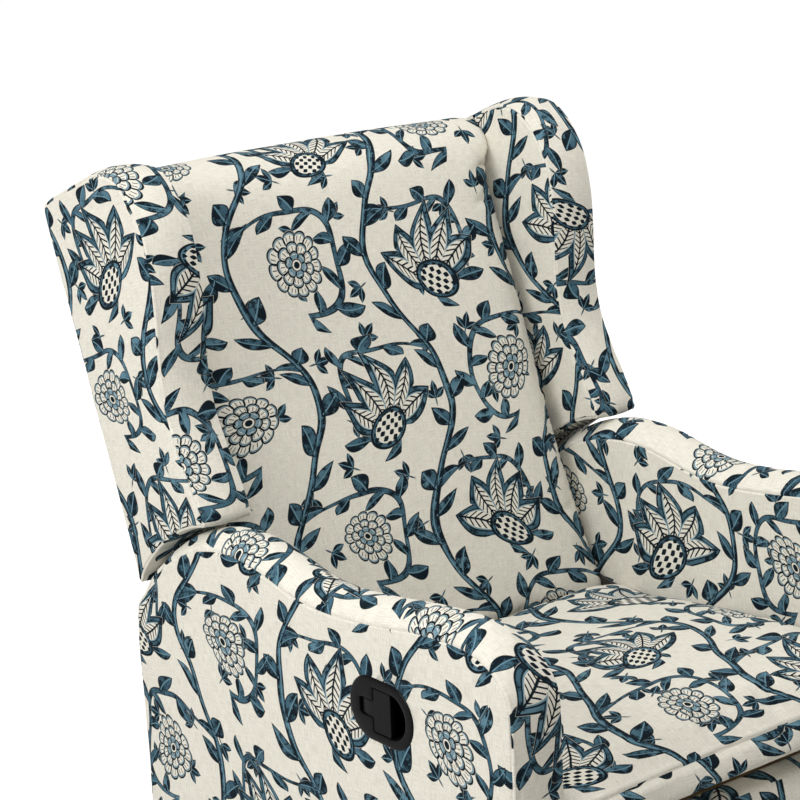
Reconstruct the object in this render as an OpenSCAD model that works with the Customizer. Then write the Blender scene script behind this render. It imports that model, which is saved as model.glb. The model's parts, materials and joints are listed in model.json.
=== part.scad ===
// Swivel glider recliner with a winged back.
// Millimetres, +Z up. The origin is on the floor, on the swivel axis. The chair faces -Y, and +X is the
// sitter's left. Everything above the glider leans back by body_tilt, and is drawn in a chair frame that
// in_chair() tilts. The back is drawn in its own frame at the recline pivot, and the seat in its own frame
// at the crease where it meets the back.

/* [Arms and overall width] */
// Width over the two arms
chair_w = 760; // [700:5:840]
// Thickness of one arm
arm_t = 75; // [60:1:90]
// Front of the arms, ahead of the swivel axis
arm_front = 445; // [420:5:470]
// Rear edge of the arms, behind the swivel axis
arm_rear = 328; // [310:2:340]
// Height of the arms' lower edge
arm_bottom = 85; // [70:1:95]
// Height of the arm's crest at the front
arm_crest = 638; // [625:1:650]
// Height of the dip in the arm's top
arm_dip = 611; // [600:1:620]
// Distance of the dip ahead of the swivel axis
arm_dip_y = 75; // [50:5:110]
// Radius of the roll at the arm's front end
arm_roll_r = 95; // [60:1:110]
// How far the arm's top strip stands above its side seams
arm_crown = 22; // [8:1:28]
// Thickness of the wooden panel inside an arm
arm_board_t = 18; // [12:1:22]

/* [Lean and pivots] */
// Backward lean of the whole body on its glider, in degrees
body_tilt = 3.7; // [0:0.1:5]
// Rake of the upright back against the body, in degrees
back_rake = 20.5; // [16:0.5:24]
// Slope of the seat against the body, in degrees
seat_slope = 5.7; // [3:0.1:7]
// Recline pivot behind the swivel axis
pivot_y = 90; // [80:1:100]
// Recline pivot above the floor
pivot_z = 370; // [360:1:380]
// Radius of the arm's hump about the recline pivot
hump_r = 264; // [250:1:270]
// Gap between the hump and the foot of a wing
wing_gap = 6; // [4:0.5:12]

/* [Back and wings] */
// Inside face of the back, behind the pivot
back_face = 45; // [42:1:60]
// Thickness of the whole back
back_t = 118; // [110:1:130]
// Top of the back above the pivot
back_h = 752; // [700:2:780]
// How far the back cushion swells forward in its middle
back_crown = 26; // [5:1:35]
// Thickness of one wing
wing_t = 76; // [60:1:84]
// How far the wing's outer face lies inside the arm's outer face
wing_inset = 2; // [0:0.5:6]
// Foremost point of the wing at head height, ahead of the pivot
wing_ear = 72; // [55:1:85]
// Height of that point above the pivot
wing_ear_h = 640; // [610:5:660]
// Narrowest point of the wing's front edge, ahead of the pivot
wing_waist = 20; // [10:1:30]
// Height of that point above the pivot
wing_waist_h = 410; // [380:5:440]
// Front of the wing's foot, ahead of the pivot
wing_foot = 38; // [25:1:45]
// How far the wing's strip stands ahead of its side seams
wing_crown = 11; // [4:1:14]
// Thickness of the wooden panel inside a wing
wing_board_t = 18; // [12:1:22]
// Depth of the wooden back posts and rails, front to rear
post_d = 34; // [26:1:38]
// Width of one back post
post_w = 35; // [28:1:45]
// Height of the back's cross rails
back_rail_h = 45; // [35:1:60]
// Thickness of the outside back panel
outside_t = 15; // [10:1:18]

/* [Seat] */
// Height of the crease above the pivot, along the back
crease_h = 47; // [44:1:54]
// Depth of the seat cushion
seat_depth = 595; // [570:5:610]
// Thickness of the seat cushion at its seams
seat_t = 100; // [85:1:105]
// How far the seat cushion swells above its seams
seat_crown = 24; // [10:1:32]
// Radius of the seat's front roll
seat_roll_r = 34; // [20:1:40]
// Height of the seat's wooden rails
seat_rail_h = 38; // [32:1:42]
// Thickness of the seat's front and rear rails
seat_rail_t = 26; // [20:1:32]
// Width of the seat's side rails
side_rail_w = 34; // [28:1:38]
// Number of zigzag springs under the seat
seat_springs_n = 5; // [4:1:6]
// Number of zigzag springs behind the back cushion
back_springs_n = 4; // [3:1:5]
// Thickness of spring wire
wire_d = 3.6; // [3:0.1:4.2]

/* [Footrest] */
// Thickness of the footrest's padding
pad_t = 45; // [35:1:55]
// Bottom of the stowed footrest above the floor
pad_bottom = 92; // [88:1:110]
// Gap between the stowed footrest and the seat cushion
pad_gap = 6; // [3:0.5:12]
// How far the footrest's padding swells in its middle
pad_crown = 9; // [3:1:14]
// Thickness of the footrest's board
board_t = 15; // [12:1:18]
// Length of the lower footrest link between its pins
link_a = 190; // [185:1:195]
// Length of the upper footrest link between its pins
link_b = 250; // [246:1:254]
// Width of a footrest link
link_w = 22; // [18:1:26]
// Thickness of a footrest link
link_t = 4; // [3:0.5:5]
// Footrest pivot on the seat, ahead of the swivel axis
rest_pivot_y = 250; // [245:1:255]
// Footrest pivot above the floor
rest_pivot_z = 287; // [284:1:290]
// Footrest bracket's pivot ahead of the swivel axis
board_pivot_y = 365; // [360:1:368]
// Footrest bracket's pivot above the floor
board_pivot_z = 225; // [220:1:230]
// Radius of a footrest pin
rest_pin_r = 4; // [3:0.5:5]
// Radius of the tube across the lower links
torque_r = 8; // [6:1:10]
// Distance of that tube from the footrest pivot
torque_at = 60; // [50:1:70]

/* [Steelwork] */
// Thickness of the mechanism's plates
plate_t = 4; // [3:0.5:4.5]
// Side gap between two plates that turn against each other
plate_gap = 0.5; // [0.3:0.1:1]
// Radius of a recline pin
recline_pin_r = 6; // [5:0.5:8]
// Radial clearance of a pin in a moving bore
pin_clear = 0.05; // [0.03:0.01:0.1]

/* [Glider] */
// Length of a glider link between its pins
swing_len = 105; // [95:1:115]
// Distance of the front and rear glider pins
swing_base = 300; // [260:5:330]
// Height of the glider's upper pins at mid length
swing_top = 185; // [178:1:195]
// Outside width over the glider's lower side plates
glider_w = 328; // [300:2:340]
// Radius of a glider pin
swing_pin_r = 6; // [5:0.5:8]
// Height of the upper chair rails' top flange
rail_top = 215; // [212:1:222]
// Height of the wooden cross boards
cross_board_h = 34; // [26:1:35]
// Thickness of the wooden cross boards
cross_board_t = 25; // [20:1:30]

/* [Swivel base] */
// Diameter over the floor ring
ring_d = 566; // [480:2:600]
// Diameter of the ring's tube
ring_tube = 26; // [20:1:30]
// Height of a floor glide under the ring
glide_h = 6; // [4:1:8]
// Number of floor glides
glides_n = 8; // [6:1:10]
// Width of the base's cross bars
bar_w = 34; // [28:1:45]
// Height of the base's cross bars
bar_h = 20; // [16:1:22]
// Size of the square swivel plates
swivel_plate = 200; // [184:2:230]
// Pitch radius of the bearing balls
race_r = 78; // [70:1:84]
// Diameter of a bearing ball
ball_d = 10; // [8:1:11]
// Number of bearing balls
balls_n = 24; // [16:1:30]
// Radius of the swivel bolt
king_r = 6; // [5:0.5:8]

/* [Release handle] */
// Length of the handle's oval cup
cup_len = 121; // [115:1:135]
// Height of the cup
cup_h = 81; // [76:1:92]
// Depth of the cup's recess in the arm
cup_depth = 22; // [18:1:26]
// Centre of the cup ahead of the swivel axis
cup_y = 208; // [190:1:235]
// Centre of the cup above the floor
cup_z = 493; // [470:1:500]
// Thickness of the moulded plastic
plastic_t = 3; // [2:0.5:4]

/* [Hidden] */

CLOTH = "#e4dccd";
STEEL = "#2b2c2e";
ZINC = "#9a9c9e";
TIMBER = "#c8a679";
PLASTIC = "#16171a";

// Smallest gap left between soft solids of two bodies, and between stacked plates
soft_gap = 0.5;
rub_gap = 0.3;

// Stations across the chair, as distances from the middle plane
arm_out = chair_w / 2;
arm_in = arm_out - arm_t;
arm_mid = arm_out - arm_t / 2;
side_in = arm_in - plate_t;
hinge_out = side_in - plate_gap;
hinge_in = hinge_out - plate_t;
wing_out = arm_out - wing_inset;
wing_in = wing_out - wing_t;
wing_mid = wing_out - wing_t / 2;
cushion_half = hinge_in - 4;
seat_half = arm_in - 1;
back_half = side_in - soft_gap;
pad_half = arm_in - 4;
// The seat and back cushions are narrower where they pass the hinge plates
seat_notch = 130;
back_notch = 100;
frame_half = hinge_in;
wing_r = hump_r + wing_gap;

// Back frame: distances behind and above the recline pivot
back_rear = back_face + back_t;
post_front = back_rear - outside_t - post_d;
post_rear = back_rear - outside_t;
post_low = 12;
post_high = back_h - 52;
back_low = 8;
rabbet_low = 140;

// Seat frame: its origin is the crease, found from the back's face
crease_y = pivot_y + (back_face - soft_gap) * cos(back_rake) + crease_h * sin(back_rake);
crease_z = pivot_z - (back_face - soft_gap) * sin(back_rake) + crease_h * cos(back_rake);
seat_lean = back_rake - seat_slope;
rail_z = -seat_t - seat_rail_h;
rail_back = -seat_t * tan(seat_lean) - 18;
side_rail_in = arm_in - 12 - side_rail_w;
side_rail_out = side_rail_in + side_rail_w;
ledge_t = 3;

// Where a point of the seat frame lies in the chair frame
function seat_y(y, z) = crease_y + y * cos(seat_slope) + z * sin(seat_slope);
function seat_z(y, z) = crease_z - y * sin(seat_slope) + z * cos(seat_slope);

// Footrest linkage. Stations across, from the seat's side rail inwards
bracket_out = side_rail_in;
bracket_in = bracket_out - plate_t;
low_out = bracket_in - plate_gap;
low_in = low_out - link_t;
up_out = low_in - plate_gap;
up_in = up_out - link_t;
tab_out = up_in - plate_gap;
tab_in = tab_out - plate_t;
// The stowed linkage is a triangle: seat pivot, elbow, board pivot. Angles are measured up from forward
stow_fwd = board_pivot_y - rest_pivot_y;
stow_up = board_pivot_z - rest_pivot_z;
stow_len = norm([stow_fwd, stow_up]);
stow_corner = acos((link_a ^ 2 + stow_len ^ 2 - link_b ^ 2) / (2 * link_a * stow_len));
lower_angle = atan2(stow_up, stow_fwd) - stow_corner;
elbow_y = rest_pivot_y + link_a * cos(lower_angle);
elbow_z = rest_pivot_z + link_a * sin(lower_angle);
upper_angle = atan2(board_pivot_z - elbow_z, board_pivot_y - elbow_y);
pad_front = arm_front;
pad_rear = arm_front - pad_t;
board_rear = pad_rear - board_t;
pad_top = seat_z(-seat_depth, -seat_t) - pad_gap;
rail_front = (8 - board_rear - crease_y - rail_z * sin(seat_slope)) / cos(seat_slope);

// Swivel base heights
ring_r = (ring_d - ring_tube) / 2;
ring_z = glide_h + ring_tube / 2;
bar_z = ring_z - bar_h / 2;
plate_z = bar_z + bar_h;
hub_r = king_r + 6;
bolt_head = 8;
race_h = 4;
groove = 2;
ball_z = plate_z + plate_t + race_h - groove + ball_d / 2 + pin_clear;
upper_z = ball_z + ball_d / 2 + pin_clear - groove + race_h;
rail_bar_z = upper_z + plate_t;
rail_bar_t = 6;
rail_bar_w = 40;
rail_bar_y = swivel_plate / 2 - rail_bar_w / 2;
glider_z = rail_bar_z + rail_bar_t;

// Glider stations across, from the lower side plate outwards
gs_out = glider_w / 2;
gs_in = gs_out - plate_t;
swing_in = gs_out + 6;
swing_t = 5;
swing_out = swing_in + swing_t;
cr_in = swing_out + 9;
cr_out = cr_in + plate_t;
washer_r = swing_pin_r + 3;
eye_r = swing_pin_r + 8;
lower_y = swing_base / 2;
swing_w = eye_r + 4;
glider_h = 30;
glider_foot = 20;
glider_end = lower_y + eye_r + 2;
chair_rail_h = 60;
chair_flange = 30;
chair_rail_front = lower_y + 30;
chair_rail_rear = lower_y + 20;

// Glider pins in world coordinates. The two upper pins follow the body's lean
function upper_pin(side) = [side * lower_y * cos(body_tilt), swing_top - side * lower_y * sin(body_tilt)];
function lower_pin(side) = upper_pin(side) - [0, swing_len];
// The same pins in the chair frame
function to_chair(p) = [p[0] * cos(body_tilt) - p[1] * sin(body_tilt),
                        p[0] * sin(body_tilt) + p[1] * cos(body_tilt)];

// Frames
module in_chair() {
    rotate([-body_tilt, 0, 0]) children();
}
module in_back() {
    in_chair() translate([0, pivot_y, pivot_z]) rotate([-back_rake, 0, 0]) children();
}
module in_seat() {
    in_chair() translate([0, crease_y, crease_z]) rotate([-seat_slope, 0, 0]) children();
}
module mirror_x() {
    children();
    mirror([1, 0, 0]) children();
}
// A plate drawn as [y, z] outlines, with its faces at x0 and x1
module side_slab(x0, x1) {
    translate([x0, 0, 0]) rotate([90, 0, 90]) linear_extrude(x1 - x0) children();
}
module rod_x(r, x0, x1, y, z) {
    translate([x0, y, z]) rotate([0, 90, 0]) cylinder(r = r, h = x1 - x0, $fn = 48);
}
module block(x0, x1, y0, y1, z0, z1) {
    translate([x0, y0, z0]) cube([x1 - x0, y1 - y0, z1 - z0]);
}

// Points of an arc
function arc(c, r, a0, a1, n) = [for (i = [0:n]) let (a = a0 + (a1 - a0) * i / n) c + r * [cos(a), sin(a)]];
function reversed(p) = [for (i = [len(p) - 1:-1:0]) p[i]];
// Half a cosine wave from a to b, for t from 0 to 1
function ease(a, b, t) = (a + b) / 2 + (a - b) / 2 * cos(180 * t);

// A closed skin over rings of equally many points, with a fan on each end
function ring_faces(k, n) = [for (i = [0:n - 1]) let (j = (i + 1) % n, a = k * n, b = a + n)
    each [[a + i, b + i, a + j], [a + j, b + i, b + j]]];
module skin(rings, first, last) {
    n = len(rings[0]);
    m = len(rings);
    pts = concat([for (r = rings) each r], [first, last]);
    body = [for (k = [0:m - 2]) each ring_faces(k, n)];
    caps = [for (i = [0:n - 1]) let (j = (i + 1) % n)
        each [[m * n, i, j], [m * n + 1, (m - 1) * n + j, (m - 1) * n + i]]];
    polyhedron(points = pts, faces = concat(body, caps), convexity = 6);
}

// Upholstered slab: an outline of [a, b] points round a core point, drawn in towards both side seams by
// crown(normal), with its two faces swelling by puff. It becomes [x, a, b]
function outward(p, i) = let (n = len(p), d = p[(i + 1) % n] - p[(i + n - 1) % n]) [d[1], -d[0]] / norm(d);
SLAB_STEPS = [-1, -0.82, -0.45, 0, 0.45, 0.82, 1];
CAP_STEPS = [0.8, 0.45];
function slab_edge(p, half, c, s) = [for (i = [0:len(p) - 1]) let (o = outward(p, i))
    let (q = p[i] - o * slab_crown(c, o) * abs(s) ^ 2.2) [s * half, q[0], q[1]]];
function slab_crown(c, o) = max(c[0] * max(0, o[1]) ^ 1.5, c[1] * max(0, -o[0]), c[2]);
function slab_cap(p, half, c, s, k, core, puff) = [for (v = slab_edge(p, half, c, s))
    [s * (half + puff * (1 - k ^ 2)), core[0] + (v[1] - core[0]) * k, core[1] + (v[2] - core[1]) * k]];
module slab(p, half, c, core, puff) {
    low = [for (k = [len(CAP_STEPS) - 1:-1:0]) slab_cap(p, half, c, -1, CAP_STEPS[k], core, puff)];
    high = [for (k = CAP_STEPS) slab_cap(p, half, c, 1, k, core, puff)];
    mid = [for (s = SLAB_STEPS) slab_edge(p, half, c, s)];
    skin(concat(low, mid, high), [-half - puff, core[0], core[1]], [half + puff, core[0], core[1]]);
}

// Arm outline in the chair frame, as [y, z]: rear edge, hump about the pivot, scoop, front roll
hump_low = acos((arm_rear - pivot_y) / hump_r);
edge_r = 15;
arm_outline = concat(
    arc([arm_rear - edge_r, arm_bottom + edge_r], edge_r, -90, 0, 2),
    [[arm_rear, arm_bottom + 180]],
    arc([pivot_y, pivot_z], hump_r, hump_low, 90, 7),
    [for (t = [1:4]) [ease(pivot_y, -arm_dip_y, 0) + (-arm_dip_y - pivot_y) * t / 4,
                      ease(pivot_z + hump_r, arm_dip, t / 4)]],
    [for (t = [1:5]) [-arm_dip_y + (-arm_front + arm_roll_r + arm_dip_y) * t / 5,
                      ease(arm_dip, arm_crest, t / 5)]],
    [for (v = arc([-arm_front + arm_roll_r, arm_crest - arm_roll_r], arm_roll_r, 105, 180, 5)) v],
    [[-arm_front, arm_bottom + 260]],
    arc([-arm_front + edge_r, arm_bottom + edge_r], edge_r, 180, 270, 2),
    [[-180, arm_bottom], [80, arm_bottom]]
);
arm_core = [-60, 340];
arm_seams = [arm_crown, 9, 3];
// Panel inside the arm, open at the bottom
arm_panel = [
    [-arm_front + 32, arm_bottom + 3], [arm_rear - 26, arm_bottom + 3], [arm_rear - 26, pivot_z + 60],
    [pivot_y + 130, pivot_z + hump_r - 74], [pivot_y, pivot_z + hump_r - 42],
    [-arm_dip_y, arm_dip - 40], [-arm_front + 100, arm_crest - 46], [-arm_front + 32, arm_crest - 100]
];
arm_slot = concat([[-arm_front + 32, arm_bottom - 20], [arm_rear - 26, arm_bottom - 20]],
                  [for (i = [2:len(arm_panel) - 1]) arm_panel[i]]);
front_board_y = -130;
rear_board_y = 115;
module cross_pockets() {
    for (y = [front_board_y, rear_board_y])
        block(-arm_mid, arm_mid, y, y + cross_board_t, rail_top, rail_top + cross_board_h);
}
module arm_shape() {
    difference() {
        translate([arm_mid, 0, 0]) slab(arm_outline, arm_t / 2, arm_seams, arm_core, 0);
        side_slab(arm_mid - arm_board_t / 2, arm_mid + arm_board_t / 2) polygon(arm_slot);
        cross_pockets();
    }
}
module arm_panel_shape() {
    side_slab(arm_mid - arm_board_t / 2, arm_mid + arm_board_t / 2) polygon(arm_panel);
}

// Wing outline in the back frame, as [p, q]
foot_low = asin(back_rear / wing_r);
foot_high = -asin((wing_foot - 6) / wing_r);
foot_q = wing_r * cos(foot_high) + 10;
wing_outline = concat(
    [for (i = [0:6]) let (a = foot_low + (foot_high - foot_low) * i / 6) [wing_r * sin(a), wing_r * cos(a)]],
    [for (t = [0:3]) [-ease(wing_foot, wing_waist, t / 3), foot_q + (wing_waist_h - foot_q) * t / 3]],
    [for (t = [1:5]) [-ease(wing_waist, wing_ear, t / 5),
                      wing_waist_h + (wing_ear_h - wing_waist_h) * t / 5]],
    [for (a = [165:-15:90]) [18 + (wing_ear + 18) * cos(a), wing_ear_h + (back_h - wing_ear_h) * sin(a)]],
    [[back_rear - 60, back_h - 3], [back_rear - 16, back_h - 7], [back_rear - 3, back_h - 16],
     [back_rear, back_h - 40], [back_rear, 520], [back_rear, 360]]
);
wing_core = [48, 520];
wing_seams = [8, wing_crown, 3];
// Panel inside the wing, set into a slot that is open at the rear
wing_panel_low = 290;
wing_panel_fall = 40 / (back_rear - 9);
function wing_board_outline(rear) = [
    [6, wing_panel_low], [rear, wing_panel_low - (rear - 6) * wing_panel_fall], [rear, back_h - 55],
    [-10, back_h - 55], [-30, 600], [6, 430]
];
module wing_board_slab(rear) {
    side_slab(wing_mid - wing_board_t / 2, wing_mid + wing_board_t / 2) polygon(wing_board_outline(rear));
}
module wing_shape() {
    difference() {
        translate([wing_mid, 0, 0]) slab(reversed(wing_outline), wing_t / 2, wing_seams, wing_core, 0);
        wing_board_slab(back_rear + 20);
    }
}
module wing_panel_shape() {
    wing_board_slab(back_rear - 3);
}
// Cushions are lofted across the chair from side profiles that shrink a little at both ends
LOFT_STEPS = [-1, -0.985, -0.94, -0.82, -0.6, -0.36, -0.12, 0.12, 0.36, 0.6, 0.82, 0.94, 0.985, 1];
function fullness(w) = 1 - abs(w) ^ 2.6;
function shrink(w, k) = 1 - k * max(0, (abs(w) - 0.9) / 0.1) ^ 2.5;
module loft(profiles, half, core, k) {
    rings = [for (i = [0:len(LOFT_STEPS) - 1]) let (w = LOFT_STEPS[i], s = shrink(w, k))
        [for (v = profiles[i]) [w * half, core[0] + (v[0] - core[0]) * s, core[1] + (v[1] - core[1]) * s]]];
    skin(rings, [-half, core[0], core[1]], [half, core[0], core[1]]);
}

// Seat cushion profile in the seat frame, as [y, z], front roll first
front_low = -seat_depth + seat_t * tan(seat_slope);
rear_low = -seat_t * tan(seat_lean) - soft_gap;
function seat_profile(w) = let (c = seat_crown * fullness(w), r = seat_roll_r)
    concat(
        [[rear_low, -seat_t], [(rear_low + front_low) / 2, -seat_t], [front_low + 14, -seat_t],
         [front_low - 2, -seat_t + 14], [front_low - 6, -seat_t * 0.62]],
        arc([-seat_depth + r - 4, -r - 12 + c * 0.25], r, 180, 110, 4),
        [for (t = [1:7]) let (y = (-seat_depth + r) * (1 - t / 8))
            [y, -12 * (1 - t / 8) ^ 4 + c * sin(180 * (0.14 + 0.86 * t / 8)) ^ 0.8]],
        [[-22, -1], [-6, -6], [-3.5, -14], [-seat_t * tan(seat_lean) * 0.55 - soft_gap, -seat_t * 0.55]]
    );
module seat_cushion() {
    profiles = [for (w = LOFT_STEPS) reversed(seat_profile(w))];
    color(CLOTH) in_seat() difference() {
        loft(profiles, seat_half, [-seat_depth / 2, -seat_t / 2], 0.06);
        mirror_x() block(cushion_half, arm_in, -seat_notch, 20, -seat_t - 10, seat_crown);
    }
}

// Back cushion profile in the back frame, as [p, q]: it rolls over the top rail to the outside back
roll_r = 42;
function back_profile(w) = let (c = back_crown * fullness(w), f = back_face)
    concat(
        [[post_front, back_low], [f + 16, back_low], [f + 3, back_low + 10]],
        [for (t = [1:9]) [f - c * sin(180 * (t / 10) ^ 0.8) ^ 0.9 * (t < 3 ? t / 3 : 1),
                          back_low + (back_h - 50) * t / 10]],
        arc([f - c * 0.2 + roll_r, back_h - roll_r - (1 - fullness(w)) * 3], roll_r, 172, 90, 5),
        [[post_rear - 12, back_h - 3], [post_rear, back_h - 12], [post_rear, post_high],
         [post_front, post_high], [post_front, post_high - 160], [post_front, back_low + 240]]
    );
module back_cushion() {
    profiles = [for (w = LOFT_STEPS) reversed(back_profile(w))];
    color(CLOTH) in_back() difference() {
        loft(profiles, back_half, [post_front - 22, post_high + 16], 0.02);
        mirror_x() block(cushion_half, arm_in, 0, back_rear, 0, back_notch);
    }
}

// Footrest padding profile in the chair frame, as [y, z]
function pad_profile(w) = let (c = pad_crown * fullness(w), h = pad_top - pad_bottom, r = 14)
    concat(
        [[-pad_rear, pad_bottom]],
        [for (v = arc([-pad_front + r, pad_bottom + r], r, 270, 190, 3)) v],
        [for (t = [1:4]) [-pad_front - c * sin(180 * t / 5), pad_bottom + h * t / 5]],
        [for (v = arc([-pad_front + r, pad_top - r], r, 170, 90, 3)) v],
        [[-pad_rear, pad_top]]
    );
module footrest_pad() {
    profiles = [for (w = LOFT_STEPS) reversed(pad_profile(w))];
    color(CLOTH) in_chair() loft(profiles, pad_half, [-pad_rear - 1, (pad_bottom + pad_top) / 2], 0.03);
}

// Swivel base, from the floor up
module ring_tube_shape() {
    translate([0, 0, ring_z]) rotate_extrude($fn = 144)
        translate([ring_r, 0]) circle(d = ring_tube, $fn = 40);
}
module base_ring() {
    color(STEEL) ring_tube_shape();
}
module base_cross_bars() {
    color(STEEL) difference() {
        union() {
            block(-ring_r, ring_r, -bar_w / 2, bar_w / 2, bar_z, bar_z + bar_h);
            block(-bar_w / 2, bar_w / 2, -ring_r, ring_r, bar_z, bar_z + bar_h);
        }
        ring_tube_shape();
        translate([0, 0, bar_z - 1]) cylinder(r = hub_r, h = bar_h + 2, $fn = 48);
    }
}
// A foot plugged into the hub from below keeps the cross bars from sagging
module floor_glides() {
    color(PLASTIC) {
        for (i = [0:glides_n - 1])
            rotate([0, 0, 360 / glides_n * (i + 0.5)]) difference() {
                translate([ring_r, 0, 0]) cylinder(r = ring_tube * 0.45, h = glide_h + 6, $fn = 36);
                ring_tube_shape();
            }
        cylinder(r = hub_r + 8, h = bar_z, $fn = 48);
        cylinder(r = hub_r - 0.2, h = plate_z - bolt_head - 0.5, $fn = 48);
    }
}
module swivel_square(z) {
    block(-swivel_plate / 2, swivel_plate / 2, -swivel_plate / 2, swivel_plate / 2, z, z + plate_t);
}
module race(z) {
    translate([0, 0, z]) difference() {
        cylinder(r = race_r + 10, h = race_h, $fn = 96);
        translate([0, 0, -1]) cylinder(r = race_r - 10, h = race_h + 2, $fn = 96);
    }
}
module ball_groove() {
    translate([0, 0, ball_z]) rotate_extrude($fn = 96)
        translate([race_r, 0]) circle(r = ball_d / 2 + pin_clear, $fn = 32);
}
module bearing_lower_plate() {
    color(ZINC) difference() {
        union() {
            swivel_square(plate_z);
            race(plate_z + plate_t);
        }
        ball_groove();
        translate([0, 0, plate_z - 1]) cylinder(r = king_r, h = plate_t + 2, $fn = 48);
    }
}
module bearing_balls() {
    for (i = [0:balls_n - 1])
        color(ZINC) rotate([0, 0, 360 / balls_n * i])
            translate([race_r, 0, ball_z]) sphere(d = ball_d, $fn = 24);
}
module swivel_bolt() {
    color(ZINC) {
        translate([0, 0, plate_z - bolt_head]) cylinder(r = king_r + 4, h = bolt_head, $fn = 48);
        translate([0, 0, plate_z - 1]) cylinder(r = king_r, h = rail_bar_z - plate_z + 6, $fn = 48);
        translate([0, 0, rail_bar_z + rub_gap]) cylinder(r = king_r + 8, h = 2, $fn = 48);
        translate([0, 0, rail_bar_z + rub_gap + 2]) cylinder(r = king_r + 4, h = bolt_head, $fn = 48);
    }
}

// Turntable
bolt_r = 4;
module bolt_spots() {
    for (x = [-rail_bar_y, rail_bar_y], y = [-rail_bar_y, rail_bar_y]) translate([x, y, 0]) children();
}
module bearing_upper_plate() {
    color(ZINC) difference() {
        union() {
            swivel_square(upper_z);
            race(upper_z - race_h);
        }
        ball_groove();
        translate([0, 0, upper_z - 1]) cylinder(r = king_r + pin_clear, h = plate_t + 2, $fn = 48);
        translate([0, 0, upper_z - 1]) bolt_spots() cylinder(r = bolt_r, h = plate_t + 2, $fn = 32);
    }
}
module cross_rails() {
    color(STEEL) difference() {
        for (y = [-rail_bar_y, rail_bar_y])
            block(-gs_out, gs_out, y - rail_bar_w / 2, y + rail_bar_w / 2, rail_bar_z, glider_z);
        translate([0, 0, rail_bar_z - 1]) bolt_spots() cylinder(r = bolt_r, h = rail_bar_t + 2, $fn = 32);
    }
}
module turntable_bolts() {
    color(ZINC) bolt_spots() {
        translate([0, 0, upper_z - 3]) cylinder(r = bolt_r + 3, h = 3, $fn = 32);
        translate([0, 0, upper_z - 1]) cylinder(r = bolt_r, h = glider_z - upper_z + 2, $fn = 32);
        translate([0, 0, glider_z]) cylinder(r = bolt_r + 3, h = 4, $fn = 32);
    }
}
module glider_side() {
    a = upper_pin(-1);
    b = upper_pin(1);
    color(STEEL) difference() {
        union() {
            block(gs_in, gs_out, -glider_end, glider_end, glider_z, glider_z + glider_h);
            block(gs_in - glider_foot, gs_out, -glider_end, glider_end, glider_z, glider_z + plate_t);
            for (p = [a, b]) side_slab(gs_in, gs_out) {
                translate(p) circle(r = eye_r, $fn = 48);
                translate([p[0] - eye_r, glider_z + plate_t]) square([eye_r * 2, p[1] - glider_z - plate_t]);
            }
        }
        for (p = [a, b]) rod_x(swing_pin_r, gs_in - 1, gs_out + 1, p[0], p[1]);
    }
}
module glider_side_left() {
    glider_side();
}
module glider_side_right() {
    mirror([1, 0, 0]) glider_side();
}
module upper_link_pins() {
    for (s = [-1, 1]) color(ZINC) mirror_x() {
        p = upper_pin(s);
        rod_x(washer_r, gs_in - 3, gs_in, p[0], p[1]);
        rod_x(swing_pin_r, gs_in - 1, swing_out + 2, p[0], p[1]);
        rod_x(washer_r, gs_out, swing_in - rub_gap, p[0], p[1]);
        rod_x(washer_r, swing_out + rub_gap, swing_out + 3, p[0], p[1]);
    }
}
module swing_link(s) {
    a = upper_pin(s);
    b = lower_pin(s);
    color(ZINC) difference() {
        side_slab(swing_in, swing_out) {
            for (p = [a, b]) translate(p) circle(r = eye_r - 1, $fn = 48);
            translate([a[0] - swing_w / 2, b[1]]) square([swing_w, swing_len]);
        }
        for (p = [a, b]) rod_x(swing_pin_r + pin_clear, swing_in - 1, swing_out + 1, p[0], p[1]);
    }
}
module front_swing_links() {
    mirror_x() swing_link(-1);
}
module rear_swing_links() {
    mirror_x() swing_link(1);
}

// Upper chair rails, drawn in the chair frame
module chair_rail() {
    color(STEEL) in_chair() difference() {
        union() {
            block(cr_in, cr_out, -chair_rail_front, chair_rail_rear, rail_top - chair_rail_h, rail_top);
            block(cr_in, cr_in + chair_flange, -chair_rail_front, chair_rail_rear,
                  rail_top - plate_t, rail_top);
            for (s = [-1, 1]) side_slab(cr_in, cr_out) {
                p = to_chair(lower_pin(s));
                translate(p) circle(r = eye_r, $fn = 48);
                translate([p[0] - eye_r, p[1]]) square([eye_r * 2, rail_top - chair_rail_h + 20 - p[1]]);
            }
        }
        for (s = [-1, 1]) {
            p = to_chair(lower_pin(s));
            rod_x(swing_pin_r, cr_in - 1, cr_out + 1, p[0], p[1]);
        }
    }
}
module chair_rail_left() {
    chair_rail();
}
module chair_rail_right() {
    mirror([1, 0, 0]) chair_rail();
}
module lower_link_pins() {
    for (s = [-1, 1]) color(ZINC) mirror_x() {
        p = lower_pin(s);
        rod_x(washer_r, swing_in - 3.3, swing_in - rub_gap, p[0], p[1]);
        rod_x(swing_pin_r, swing_in - 2, cr_out + 1, p[0], p[1]);
        rod_x(washer_r, swing_out + rub_gap, cr_in, p[0], p[1]);
        rod_x(washer_r, cr_out, cr_out + 3, p[0], p[1]);
    }
}
module cross_board(y) {
    color(TIMBER) in_chair()
        block(-arm_mid + arm_board_t / 2, arm_mid - arm_board_t / 2, y, y + cross_board_t,
              rail_top, rail_top + cross_board_h);
}
module front_cross_board() {
    cross_board(front_board_y);
}
module rear_cross_board() {
    cross_board(rear_board_y);
}

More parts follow.
